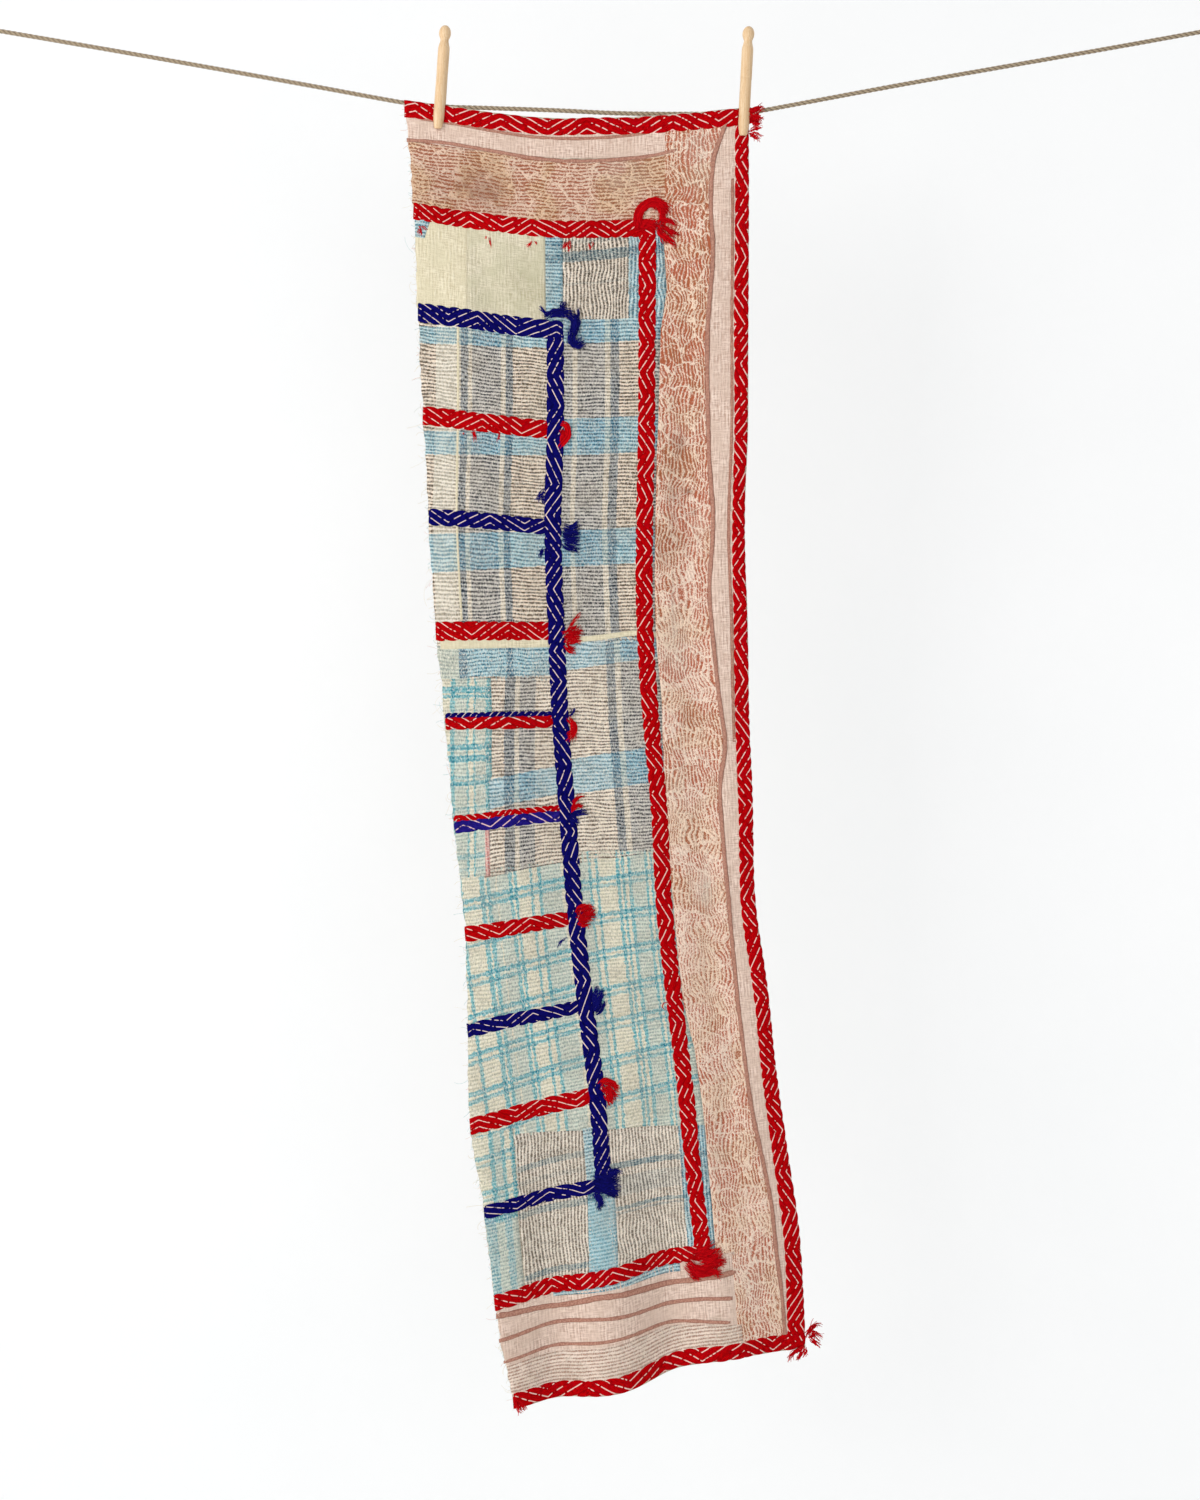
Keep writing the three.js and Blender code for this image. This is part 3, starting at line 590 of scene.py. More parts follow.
# %% Patch edges
field_offset = np.array([  # v, how far the printed border's edge lies beyond the inner red band's middle
    (100, 14), (132, 17), (176, 20), (216, 14), (266, 13), (338, 11), (451, 11), (534, 11), (594, 13), (677, 8),
    (750, 7), (803, 10), (911, 9), (965, 15), (1054, 17), (1112, 16), (1167, 14), (1200, 12),
])
ridge_offset = np.array([  # v, how far the border's raised brown stripe lies inside the outer edge
    (0, 21), (16, 23), (36, 33), (60, 37), (90, 39), (140, 37), (218, 42), (288, 42), (338, 40), (410, 33),
    (493, 39), (545, 36), (596, 31), (648, 27), (679, 33), (753, 32), (807, 29), (862, 31), (917, 34), (973, 33),
    (1026, 33), (1135, 27), (1189, 28), (1242, 24), (1300, 22),
])
along_table = lambda rows: lambda x: np.interp(x, *np.transpose(rows))
field_edge = lambda v: red_line(v) + along_table(field_offset)(v)
ridge_line = lambda v: outer_edge(v) - through(np.ravel(v), *ridge_offset.T).reshape(np.shape(v))
border_left = lambda v: np.where(v < 108, 112, np.where(v > 1186, 131, field_edge(v)))
ragged_cut = lambda v: cut_edge(v) + 0.9 * soft_noise(v, 0 * v, 7, 9, 21) + 0.8 * soft_noise(v, 0 * v, 23, 9, 22)

PATCHES = [
    # name, finish if it has another name, left, right, top, bottom, how its rows run, their wander, lift
    ("khadi_panel_left", "cream_khadi", ragged_cut, -88.5, 108, 214, "plain", 1.0, 0.00),
    ("khadi_panel_right", "grey_khadi", -89.5, -9, 108, 214, "plain", 1.0, 0.05),
    ("blue_scrap", "blue_slip", ragged_cut, [(118, -126), (140, -133)], 118, 141, "across", 1.0, 0.14),
    ("blue_stripe_top", "", -9.5, 8, 108, 214, "across", 1.5, 0.12),
    ("reed_panel", "reed_rows_top", 7.5, field_edge, 108, [(8, 204), (60, 204.5), (110, 202)], "down", 3.2, 0.06),
    ("madras_upper_left", "", ragged_cut, 0, 212, 536, "across", 2.2, 0.00),
    ("madras_upper_right", "", 0, field_edge, 200, 534, "across", 1.6, 0.00),
    ("cream_slip", "cream_khadi", [(222, -100.4), (340, -99.8), (512, -96.6)], [(222, -97.8), (340, -97.6), (512, -94.4)],
     222, 512, "plain", 0.6, 0.16),
    ("turned_seam_left", "cream_khadi", -118, -7, 530, 539.5, "plain", 0.4, 0.30),
    ("turned_seam_right", "cream_khadi", 8, field_edge, [(8, 530), (40, 528), (81, 523.5), (108, 527)],
     [(8, 535.5), (40, 533.5), (81, 528.5), (108, 532)], "plain", 0.4, 0.30),
    ("washed_blue_band", "", ragged_cut, 0, 536, [(-155, 573), (-70, 572), (0, 575)], "across", 2.6, 0.00),
    ("window_left", "", ragged_cut, [(560, -68), (612, -69), (640, -72), (665, -73.5), (672, -77), (698, -79), (760, -84)],
     570, 760, "across", 1.8, 0.10),
    ("madras_lower_left", "", -90, 0, 568, [(-90, 763), (-60, 760), (0, 757)], "across", 2.8, 0.02),
    ("madras_lower_right", "", 0, field_edge, 530, [(0, 760), (50, 756), (100, 750)], "across", 2.6, 0.00),
    ("pink_tape", "", [(716, -85.5), (760, -88.5)], [(716, -80.8), (760, -83.8)], 716, 761, "down", 0.5, 0.28),
    ("window_lower_left", "", ragged_cut, 0, 754, [(-130, 1080), (-95, 1018), (0, 1030)], "across", 2.0, 0.00),
    ("window_lower_right", "", 0, field_edge, 748, [(0, 1033), (50, 1037), (110, 1045)], "across", 2.4, 0.00),
    ("window_corner", "", ragged_cut, -90, 1008, 1082, "across", 1.6, 0.08),
    ("reed_low_left", "reed_rows_low_left", -92, -16, [(-92, 1014), (-60, 1020), (-16, 1028)], 1176, "down", 2.4, 0.05),
    ("blue_slip", "", -18, 2, 1026, 1090, "across", 1.2, 0.10),
    ("reed_low_right", "reed_rows_low_right", 0, field_edge, [(0, 1031), (50, 1036), (110, 1043)], 1180, "down", 2.4, 0.05),
    ("blue_stripe_low", "", [(1090, -18), (1176, -24)], [(1090, 11), (1176, 7)], 1090, 1180, "across", 1.0, 0.12),
    ("washed_corner", "", ragged_cut, -93, 1082, 1176, "across", 2.2, 0.06),
    ("pale_selvedge_top", "pale_selvedge", ragged_cut, [(0, 135), (42, 122)], 5, 42, "plain", 0.6, 0.04),
    ("printed_border_top", "", ragged_cut, 130, [(-155, 41), (-46, 41), (20, 45), (87, 42), (135, 35)], 116,
     "across", 3.0, 0.00),
    ("printed_border_right", "", border_left, lambda v: ridge_line(v) + 1.0, 4, 1286, "down", 7.0, 0.05),
    ("pale_selvedge_right", "pale_selvedge", ridge_line, lambda v: outer_edge(v) - 8, 4, 1286, "plain", 0.5, 0.00),
    ("hem_slip", "blue_slip", -64, 74, [(-64, 1180), (74, 1184)], [(-64, 1189), (0, 1191), (74, 1195)], "across", 1.0,
     0.02), ("pale_selvedge_bottom", "pale_selvedge", ragged_cut, 134, 1182, 1262, "plain", 0.6, 0.00),
    ("hem_rows", "", ragged_cut, 136, [(-125, 1246), (-18, 1246), (36, 1247), (136, 1260)], 1286, "across", 1.4, 0.06),
]
print("patches:", len(PATCHES))


# %% Grids, rows and stitches
ROW = 3.6  # spacing of the rows of quilting
STITCH, GAP = 2.9, 1.2  # length of a running stitch and of the gap after it


def edge_function(edge):
    """A patch edge as a function: of itself if it is one, straight between the places of a table, or constant."""
    if callable(edge):
        return edge
    return along_table(edge) if isinstance(edge, list) else lambda x: edge + 0.0 * np.asarray(x)


def fill(edges, s, t):
    """The place (u, v) at the shares s across and t down of a patch: v is mixed between its top and
    bottom at u, u between its left and right at v, in turn until they agree."""
    left, right, top, bottom = edges
    u = np.zeros(np.broadcast(s, t).shape) + np.mean([left(top(0.0)), right(top(0.0))])
    for _ in range(4):
        v = top(u) + (bottom(u) - top(u)) * t
        u = left(v) + (right(v) - left(v)) * s
    return u, v


def row_phase(u, v, direction, wander):
    """Distance across the rows over their spacing, moved by soft noise up to wander millimetres."""
    drift = wander * (0.7 * soft_noise(u, v, 24, 19, 31) + 0.3 * soft_noise(u, v, 8, 8, 32))
    return ((v if direction == "across" else u) + drift) / ROW


def sheet_between(u, v, front, back):
    """Points and faces of a thin closed sheet over a (u, v) grid: a front, a back and a rim."""
    across, down = u.shape
    points = np.concatenate([on_cloth(u, v, front).reshape(-1, 3), on_cloth(u, v, back).reshape(-1, 3)])
    number = np.arange(across * down).reshape(across, down)
    a, b, c, d = number[:-1, :-1], number[1:, :-1], number[1:, 1:], number[:-1, 1:]
    face = np.stack([a, d, c, b], -1).reshape(-1, 4)
    rim = np.concatenate([number[:, 0], number[-1, 1:], number[-2::-1, -1], number[0, -2:0:-1]])
    after = np.roll(rim, -1)
    far = across * down
    return points, np.concatenate([face, face[:, ::-1] + far, np.stack([rim, after, after + far, rim + far], -1)])


def stitches(edges, direction, wander, rng):
    """Places of running stitches in a patch: rows of whole-number phase, each with its own start, a few
    stitches worn away. Returns the middle, half length and direction (per mm) of each one."""
    left, right, top, bottom = edges
    low_u, high_u = left(np.linspace(0, 1300, 99)).min(), right(np.linspace(0, 1300, 99)).max()
    spread = np.linspace(-160, 230, 99)
    low_v, high_v = top(spread).min(), bottom(spread).max()
    limits = (low_u, high_u), (low_v, high_v)
    (sewn_low, sewn_high), (cross_low, cross_high) = limits if direction == "across" else limits[::-1]
    rows = np.arange(math.floor(cross_low / ROW) - 2, math.ceil(cross_high / ROW) + 3)
    steps = np.arange(sewn_low, sewn_high, STITCH + GAP)
    row, along = (a.ravel().astype(float) for a in np.meshgrid(rows, steps))
    along = along + (row % 2) * 0.5 * (STITCH + GAP) + rng.normal(0, 0.55, len(row))

    def across_at(place):
        """The place across the rows where the phase is the row's number, by repeated correction."""
        guess = row * ROW
        for _ in range(7):
            u, v = (place, guess) if direction == "across" else (guess, place)
            guess = guess + 0.8 * (row - row_phase(u, v, direction, wander)) * ROW
        return guess

    ends = [np.stack([along + k, across_at(along + k)], 1) for k in (-0.5 * STITCH, 0.5 * STITCH)]
    if direction == "down":
        ends = [end[:, ::-1] for end in ends]
    middle = (ends[0] + ends[1]) / 2
    u, v = middle.T
    inside = (u > left(v) + 1.6) & (u < right(v) - 1.6) & (v > top(u) + 1.2) & (v < bottom(u) - 1.2)
    reach = (ends[1] - ends[0]) / 2
    inside &= (np.linalg.norm(reach, axis=1) < STITCH) & (rng.random(len(row)) > 0.1)
    return middle[inside], reach[inside]


SPINDLE = np.array([[0, 1, 4], [1, 2, 4], [2, 3, 4], [3, 0, 4], [1, 0, 5], [2, 1, 5], [3, 2, 5], [0, 3, 5]])


def raised_stitches(middle, reach, height, rng):
    """Points and faces of stitches: each a spindle with two ends under the cloth, two sides and a top
    and bottom at its middle, eight faces in all."""
    side = np.stack([-reach[:, 1], reach[:, 0]], 1)
    side *= (0.62 + 0.16 * rng.random((len(side), 1))) / np.linalg.norm(side, axis=1, keepdims=True)
    reach = reach * (0.8 + 0.4 * rng.random((len(reach), 1)))
    places = np.stack([middle - reach, middle + side, middle + reach, middle - side, middle, middle], 1)
    lift = height + np.array([-0.12, 0.03, -0.12, 0.03, 0.42, -0.25])
    points = on_cloth(places[..., 0], places[..., 1], np.broadcast_to(lift, places.shape[:2]))
    faces = SPINDLE[None] + 6 * np.arange(len(middle))[:, None, None]
    return points.reshape(-1, 3), faces.reshape(-1, 3)


STAINS = [
    # across, down, reach across, reach down, strength: brown where positive, worn pale where negative
    (-72, 78, 34, 26, 0.75), (-120, 86, 30, 20, 0.35), (20, 100, 36, 14, 0.25), (70, 60, 26, 24, -0.35),
    (128, 330, 7, 12, 0.9), (138, 380, 4, 3, 1.3), (146, 402, 4, 4, 1.2), (112, 440, 12, 26, 0.5), (134, 430, 10, 22, 0.4),
    (120, 545, 16, 26, -0.5), (140, 610, 12, 30, 0.2), (118, 690, 14, 22, -0.3), (138, 795, 10, 20, -0.9),
    (126, 860, 12, 32, 0.1), (140, 990, 10, 40, 0.12), (120, 1080, 14, 30, -0.3), (128, 1203, 9, 5, 0.8),
    (110, 1252, 6, 5, 0.9), (104, 1256, 4, 3, 0.7), (-100, 1225, 26, 14, 0.2), (150, 60, 16, 26, -0.3),
    (-34, 176, 20, 26, 0.6), (-16, 190, 10, 26, 0.5), (-60, 180, 24, 30, 0.15), (-26, 145, 4, 8, 0.25),
    (60, 1130, 20, 16, 0.15),
    (-85, 82, 16, 26, 0.55), (-62, 92, 12, 14, 0.4), (126, 385, 12, 20, 0.6), (120, 350, 10, 30, 0.35),
    (122, 500, 3, 34, -0.8),
    (150, 420, 12, 22, -0.4), (150, 1120, 16, 10, 0.2), (126, 1105, 10, 8, 0.3), (150, 1215, 20, 30, -0.2),
    (146, 30, 18, 12, -0.3),
]


def stain_at(u, v):
    """Sum of soft round spots, strength times exp(-distance squared), broken up by fine noise."""
    total = 0.0 * u
    for across, down, reach_u, reach_v, strength in STAINS:
        total = total + strength * np.exp(-(((u - across) / reach_u) ** 2) - ((v - down) / reach_v) ** 2)
    return total * (1 + 0.5 * soft_noise(u, v, 5, 5, 41))


def make_patch(name, finish, left, right, top, bottom, direction, wander, lift, cell=4.0):
    """One patch: a thin closed sheet with its stitches on it, in one mesh."""
    rng = np.random.default_rng(sum(map(ord, name)))
    edges = [edge_function(edge) for edge in (left, right, top, bottom)]
    u, v = fill(edges, np.array([[0.0], [1.0]]), np.array([[0.0, 1.0]]))
    s = np.linspace(0, 1, 1 + math.ceil(np.ptp(u) / cell))[:, None]
    t = np.linspace(0, 1, 1 + math.ceil(np.ptp(v) / cell))[None]
    u, v = fill(edges, s, t)
    front = HALF_CLOTH + 0.12 + lift
    points, faces = sheet_between(u, v, front, HALF_CLOTH - 0.35)
    place = np.tile(np.stack([u.ravel(), v.ravel()], 1), (2, 1))
    middle, reach = stitches(edges, direction, wander, rng)
    if direction == "plain":
        middle, reach = middle[:0], reach[:0]
    sewn, sewn_faces = raised_stitches(middle, reach, front, rng)
    sewn_faces = np.concatenate([sewn_faces, sewn_faces[:, 2:]], 1)
    piece = mesh_piece(name, *joined([(points, faces), (sewn, sewn_faces)]))
    place = np.concatenate([place, np.repeat(middle, 6, 0)])
    row = row_phase(*place.T, direction, wander)
    thread = np.zeros(len(place))
    thread[len(points):] = np.repeat(0.3 + 0.7 * rng.random(len(middle)), 6)
    keep(piece, place, row=row, thread=thread, stain=stain_at(*place.T))
    return piece, finish or name


patches, patch_finishes = zip(*[make_patch(*row) for row in PATCHES])
patch_faces = [len(patch.data.polygons) for patch in patches]
print("faces on the patches:", sum(patch_faces), " most on one:", max(patch_faces))

# %% [markdown]
# ## Woven cotton under quilting
#
# Each patch is a soft old cotton, woven in stripes and checks and then sewn over
# with pale thread until the colours show only in the valleys between the rows.
# One function makes all of these finishes, because they differ only in their
# tables: which colours lie in which columns across, and in which bars down. In
# each column a table row gives the cloth and the sewing thread, and both again
# where a bar crosses. Edges of stripes are nudged by a millimetre of noise, since
# puckers shift the weave. The valleys come from the row phase kept on the mesh,
# and fine threads cross them. The deepest valleys are darkened as painted shade,
# and so are small nicks in the crinkle.


# %% Quilted cotton
def stripe_stops(edges, colours, low, high):
    """Colour stops for stripes that end at the given edges, as shares of the way from low to high."""
    starts = [low, *edges[:-1]]
    return [((start - low) / (high - low), colour) for start, colour in zip(starts, colours)]


def row_wave(add):
    """1 on every row of stitches and -1 halfway between two: the cosine of the row phase."""
    return add("Math COSINE", (add("Math MULTIPLY", (add("Attribute", attribute_name="row"), 2 * math.pi)),))


def shaken(add, value, *noises):
    """A value plus weight times (noise - 0.5) for each pair of noise and weight."""
    for noise, weight in noises:
        value = add("Math MULTIPLY_ADD", (add("Math SUBTRACT", (noise, 0.5)), weight, value))
    return value


COTTON = {"Roughness": 0.95, "Specular IOR Level": 0.15, "Sheen Weight": 0.04, "Sheen Roughness": 0.6}
STAINED = (0.0, 1.4, 0.0, 0.6)  # how much of a stain's colour shows, from no stain to the strongest
SLANT_FROM = 660.0  # the place down the cloth where slanting columns keep their place


def quilted_cotton(name, columns, bars=(), lean=0.0, slant=0.0, sewn="across", valley=(-0.3, 0.35),
                   crossing=0.6, dots=0.5, nudge=0.5, shade=0.68, flecks=0.5):
    """columns rows are (where it ends across, its four colours), bars rows (top, bottom, strength). lean
    tilts the bars, slant the columns. valley sets how much of each row's cosine is covered, shade how dark
    the painted shade in the deepest valleys is, flecks how strong the crinkle and its painted shade are."""
    finish, add = bare_tree(name)
    weave = add("UVMap", uv_map="weave")
    u, v, _ = add("SeparateXYZ", (weave,)).outputs
    thread, stain = (add("Attribute", attribute_name=kept) for kept in ("thread", "stain"))
    hand, worn, loose, broad = (add("TexNoise", (weave, scale, detail))
                                for scale, detail in ((0.22, 2.0), (0.6, 2.0), (0.1, 3.0), (0.03, 4.0)))
    shift = add("MapRange", (hand, 0.3, 0.7, -nudge, nudge), clamp=False)
    upright = add("Math MULTIPLY_ADD", (add("Math SUBTRACT", (v, SLANT_FROM)), -slant, u))
    across = add("Math ADD", (upright, shift))
    down = add("Math ADD", (add("Math MULTIPLY_ADD", (across, lean, v)), shift))

    edges, kinds = zip(*columns)
    low = edges[0] - 60
    share = add("MapRange", (across, low, edges[-1]))
    cloth, cotton, crossed_cloth, crossed_cotton = (
        add("ValToRGB", (share,), stops=stripe_stops(edges, tones, low, edges[-1])) for tones in zip(*kinds))
    if bars:
        start, end = bars[0][0] - 1, bars[-1][1] + 1
        stops = [(0.0, "#000000")]
        for top, bottom, strength in bars:
            grey = "#" + 3 * f"{round(255 * min(1.0, 1.25 * strength) ** 0.4545):02X}"
            stops += [((top - start) / (end - start), grey), ((bottom - start) / (end - start), "#000000")]
        in_bar = add("ValToRGB", (add("MapRange", (down, start, end)),), stops=stops)
        cloth = add("Mix", (in_bar, cloth, crossed_cloth))
        cotton = add("Mix", (in_bar, cotton, crossed_cotton))

    uneven = shaken(add, row_wave(add), (worn, 2.6), (loose, 2.2))
    covered = add("MapRange", (uneven, *valley))
    wisp_size, nick_size = (0.62, 0.14, 1.0), (0.85, 0.3, 1.0)
    if sewn == "down":
        wisp_size, nick_size = (0.14, 0.62, 1.0), (0.3, 0.85, 1.0)
    wisps = add("TexNoise", (add("Mapping", {"Vector": weave, "Scale": wisp_size}), 1.0, 1.0))
    crossed = add("MapRange", (wisps, 0.52, 0.62, 0.0, crossing))
    raised = add("MapRange", (thread, 0.0, 0.1))
    hidden = add("Math MAXIMUM", (add("Math MAXIMUM", (covered, crossed)), raised))
    colour = add("Mix", (hidden, cloth, cotton))

    # Small slubs of undyed thread catch the light here and there
    slub = add("TexVoronoi", {"Vector": weave, "Scale": 0.27})
    bright = add("MapRange", (slub.outputs["Distance"], 0.22, 0.1, 0.0, dots))
    colour = add("Mix", (bright, colour, "#E9E2D4"))
    colour = add("Mix", (add("MapRange", (broad, 0.4, 0.66, 0.0, 0.22)), colour, "#B3A48F"))
    tone = add("Mix", (raised, 1.0, add("MapRange", (thread, 0.3, 1.0, 0.84, 1.06))), data_type="FLOAT")
    # Crinkle: short pale bits of slack thread lie across the rows, with nicks between them darkened as painted shade
    crinkle = add("TexNoise", (add("Mapping", {"Vector": weave, "Scale": nick_size}), 1.0, 2.0))
    colour = add("Mix", (add("MapRange", (crinkle, 0.57, 0.65, 0.0, flecks)), colour, "#F4EDDF"))
    tone = add("Math MULTIPLY", (tone, add("MapRange", (crinkle, 0.35, 0.43, 1 - 0.5 * flecks, 1.0))))
    # Painted shade: the valleys between the rows are darkened, most where the row cosine is lowest, not on raised
    # stitches
    shaded = add("MapRange", (uneven, -1.3, 0.0, shade, 1.0))
    tone = add("Math MULTIPLY", (tone, add("Math MAXIMUM", (shaded, raised))))
    colour = add("HueSaturation", {"Color": colour, "Value": tone})
    colour = add("Mix", (add("MapRange", (stain, *STAINED)), colour, "#7A6347"))
    cover(add, colour, COTTON, add("Math MULTIPLY_ADD", (worn, 0.5, hidden)), 0.8, 0.0012)
    return finish


# cloth, thread, cloth in a bar, thread in a bar
CREAM_BROWN = ("#6C5B49", "#F6E2CC", "#5F90A0", "#BEDBE0")
CREAM = ("#B3A68F", "#F5E8D6", "#8AA8AB", "#D0DAD3")
WORN_CREAM = ("#CFC3AC", "#F8EDDC", "#8DB3BC", "#D3E0DC")
GREY = ("#4D4D50", "#D2CBC2", "#44788F", "#A3C7D3")
DARK = ("#363F49", "#ABACAB", "#2E617A", "#86A8B5")
SKY = ("#4E869A", "#B9D8DE", "#2C6179", "#7FA8B5")
PALE_BROWN = ("#8C7A68", "#FBEAD6", "#73A2B0", "#C8DEE2")
REED = ("#665A4D", "#EFDECB", "#3F5863", "#9AA5A2")
CREAM_CHECK = ("#D6D1B9", "#F3EBD2", "#62B0B9", "#93C9CC")
GREEN_CHECK = ("#B2C0B6", "#D9DFCF", "#54A3AE", "#86BFC3")
TEAL_LINE = ("#5CAAB2", "#93C9CB", "#26899D", "#55A5B0")


def checks(*lines, tint=(), end=0):
    """A column table for a window check: teal lines (from, to) on cream, grey-green inside each tint."""
    edges = sorted({edge for pair in (*lines, *tint) for edge in pair} | {end})
    inside = lambda spans, place: any(low < place < high for low, high in spans)
    kinds = [TEAL_LINE if inside(lines, edge - 0.1) else GREEN_CHECK if inside(tint, edge - 0.1) else CREAM_CHECK
             for edge in edges]
    return list(zip(edges, kinds))


def pairs(*tops, strength=0.9):
    """Bars of a window check: pairs of lines five millimetres thick, three apart."""
    return [(top + k, top + k + 4.6 - 0.1 * k, strength - 0.02 * k) for top in tops for k in (0, 8)]


entry = lambda *tables, **rest: (tables, rest)
crinkled = {"valley": (-0.7, 0.3), "crossing": 0.5, "nudge": 0.8, "shade": 0.9, "flecks": 0.55}
QUILTED = {  # columns, bars, and whatever differs from the usual
    "blue_stripe_top": entry(
        [(10, SKY)], [(127, 133, 0.7), (140, 150, 1.0), (186, 190, 0.3)],
        valley=(-0.6, 0.4), shade=0.8, flecks=0.3),
    "reed_rows_top": entry(
        [(75, REED), (120, SKY)], [(126, 131, 0.25), (138.5, 149, 1.0), (170, 172, 0.2)],
        lean=0.082, sewn="down", valley=(-0.25, 0.35), crossing=0.5),
    "madras_upper_left": entry(
        [(-122, CREAM_BROWN), (-101, WORN_CREAM), (-96, CREAM), (-89, DARK), (-85, CREAM), (-56, GREY), (-51, CREAM),
        (-44, DARK), (0, CREAM_BROWN)],
        [(216, 233, 0.9), (319, 343, 1.0), (421, 456, 1.0)], lean=0.1),
    "madras_upper_right": entry(
        [(17, GREY), (22, CREAM), (50, GREY), (56, CREAM), (65, DARK), (86, CREAM_BROWN), (120, GREY)],
        [(204, 230, 1.0), (307, 344, 1.0), (421, 458, 1.0)], lean=0.05),
    "washed_blue_band": entry(
        [(-100, GREEN_CHECK), (-92, DARK[2:] + DARK[2:]), (-52, SKY), (-45, DARK[2:] + DARK[2:]), (0, SKY)],
        valley=(-0.8, 0.2), crossing=0.7, shade=0.85, flecks=0.7),
    "window_left": entry(
        checks((-116, -112), (-99, -97), (-92.5, -90.5), (-80, -73), tint=((-112, -99), (-90.5, -80), (-73, -60))),
        [(578, 584.5, 1.0), (586.5, 590, 0.8), (612, 617, 0.5), (634.5, 640, 0.8), (645, 651, 0.9), (663.5, 666.5, 0.5),
        (668.5, 673, 1.0), (692, 695, 0.4), (737, 742, 0.5), (750, 753, 0.3)], slant=-0.08, **crinkled),
    "madras_lower_left": entry(
        [(-61, PALE_BROWN), (-51, DARK), (-46, CREAM), (-30, GREY), (0, PALE_BROWN)],
        [(659, 687, 1.0)], lean=0.13, slant=-0.08, valley=(-0.45, 0.35)),
    "madras_lower_right": entry(
        [(50, PALE_BROWN), (59, DARK), (65, CREAM), (120, GREY)],
        [(538, 564, 0.85), (654, 690, 1.0)], lean=0.13, valley=(-0.65, 0.25), flecks=0.6),
    "pink_tape": entry([(-60, ("#DC8F88", "#E8B0A6", "#DC8F88", "#E8B0A6"))], sewn="down"),
    "window_lower_left": entry(
        checks((-117, -114), (-95.5, -91), (-89, -84.5), (-66, -62.5), (-60.5, -57.5), (-44.5, -41.5), (-36, -33),
        tint=((-84.5, -79), (-77.5, -66), (-33, -12))),
        pairs(770, 806, 843, 879, 915, 951, 988), lean=0.09, **crinkled),
    "window_lower_right": entry(
        checks((17, 20), (24, 27), (45.5, 49.5), (51.5, 54.5), (58, 61), (76, 79), (81.5, 84),
        tint=((61, 76), (84, 120), (0, 17)), end=120),
        pairs(777, 814, 851, 889, 924, 961, 1000, strength=0.75), lean=0.1, **crinkled),
    "window_corner": entry(
        checks((-117, -112), (-105, -101), (-95.5, -91), tint=((-112, -105),), end=-80),
        pairs(1022, 1058, strength=0.7), lean=0.05, **crinkled),
    "reed_rows_low_left": entry(
        [(-16, ("#7C7062", "#EFE0CF", "#5A7079", "#B5B9B0"))],
        [(1046, 1052, 0.6), (1062, 1067, 0.2), (1093, 1100, 0.7), (1157, 1163, 0.8)], lean=0.03, sewn="down",
        valley=(-0.35, 0.35), crossing=0.5, shade=0.8),
    "reed_rows_low_right": entry(
        [(84, ("#8B7E6E", "#F8E8D7", "#5E757E", "#A9B4B1")), (120, SKY)],
        [(1066, 1072, 0.8), (1080, 1100, 0.25), (1110, 1114, 0.8), (1116, 1118, 0.5)], lean=-0.03,
        sewn="down", valley=(-0.4, 0.3), crossing=0.5, shade=0.8),
    "blue_slip": entry([(200, SKY)], valley=(-0.8, 0.3), shade=0.85),
    "blue_stripe_low": entry(
        [(20, ("#76A6B2", "#B4D4DA", "#36697F", "#7C9FA9"))],
        [(1092, 1099, 0.8)], valley=(-0.8, 0.6), shade=0.9, flecks=0.2),
    "washed_corner": entry(
        [(-116, ("#74A8B2", "#B7D2CF", "#4C8CA0", "#98C0C8")), (-107, GREEN_CHECK),
        (-100, ("#74A8B2", "#B7D2CF", "#4C8CA0", "#98C0C8")), (-90, GREEN_CHECK)],
        [(1092, 1099, 0.8)], **crinkled),
    "hem_rows": entry(
        [(140, ("#C49A85", "#F6E0CF", "#B08F7E", "#E8D1C0"))], valley=(-0.9, 0.3), crossing=0.4, dots=0.1,
        shade=0.85, flecks=0.35),
}
finishes = {name: quilted_cotton(name, *tables, **rest) for name, (tables, rest) in QUILTED.items()}
print("cotton finishes:", len(finishes))

# %% [markdown]
# ## Plain cotton
#
# The cream khadi panel and the pale selvedges are quilted in thread of their own
# colour, so their stitches hardly show. What shows is the weave: uneven
# hand-spun threads both ways, old marks, and soft ripples where the rows pull,
# whose light and dark are painted into the colour as shade.


# %% Plain cotton
def plain_cotton(name, deep, pale, blotch, mark):
    """Warp and weft as two stretched noises, blotches over them, and ripples from the row phase that
    come and go, which shift the colour as painted shade and raise the relief. mark is the colour of old stains."""
    finish, add = bare_tree(name)
    weave = add("UVMap", uv_map="weave")
    yarns = [add("TexNoise", (add("Mapping", {"Vector": weave, "Scale": slender}), 1.0, 2.0))
             for slender in ((0.95, 0.1, 1.0), (0.1, 0.95, 1.0))]
    pulled = add("TexNoise", (weave, 0.05, 2.0))
    ripple_relief_and_shade = add("Math MULTIPLY", (row_wave(add), add("MapRange", (pulled, 0.4, 0.62, 0.3, 1.6))))
    # The ripples go into the colour as painted shade of the row relief, and into the bump
    woven = add("Math MULTIPLY_ADD", (ripple_relief_and_shade, 0.1, add("Math ADD", yarns)))
    colour = add("Mix", (add("MapRange", (woven, 0.72, 1.22)), deep, pale))
    broad = add("TexNoise", (weave, 0.035, 4.0))
    colour = add("Mix", (add("MapRange", (broad, 0.42, 0.62, 0.0, 0.6)), colour, blotch))
    stained = add("MapRange", (add("Attribute", attribute_name="stain"), *STAINED))
    cover(add, add("Mix", (stained, colour, mark)), COTTON, woven, 0.7, 0.0009)
    return finish


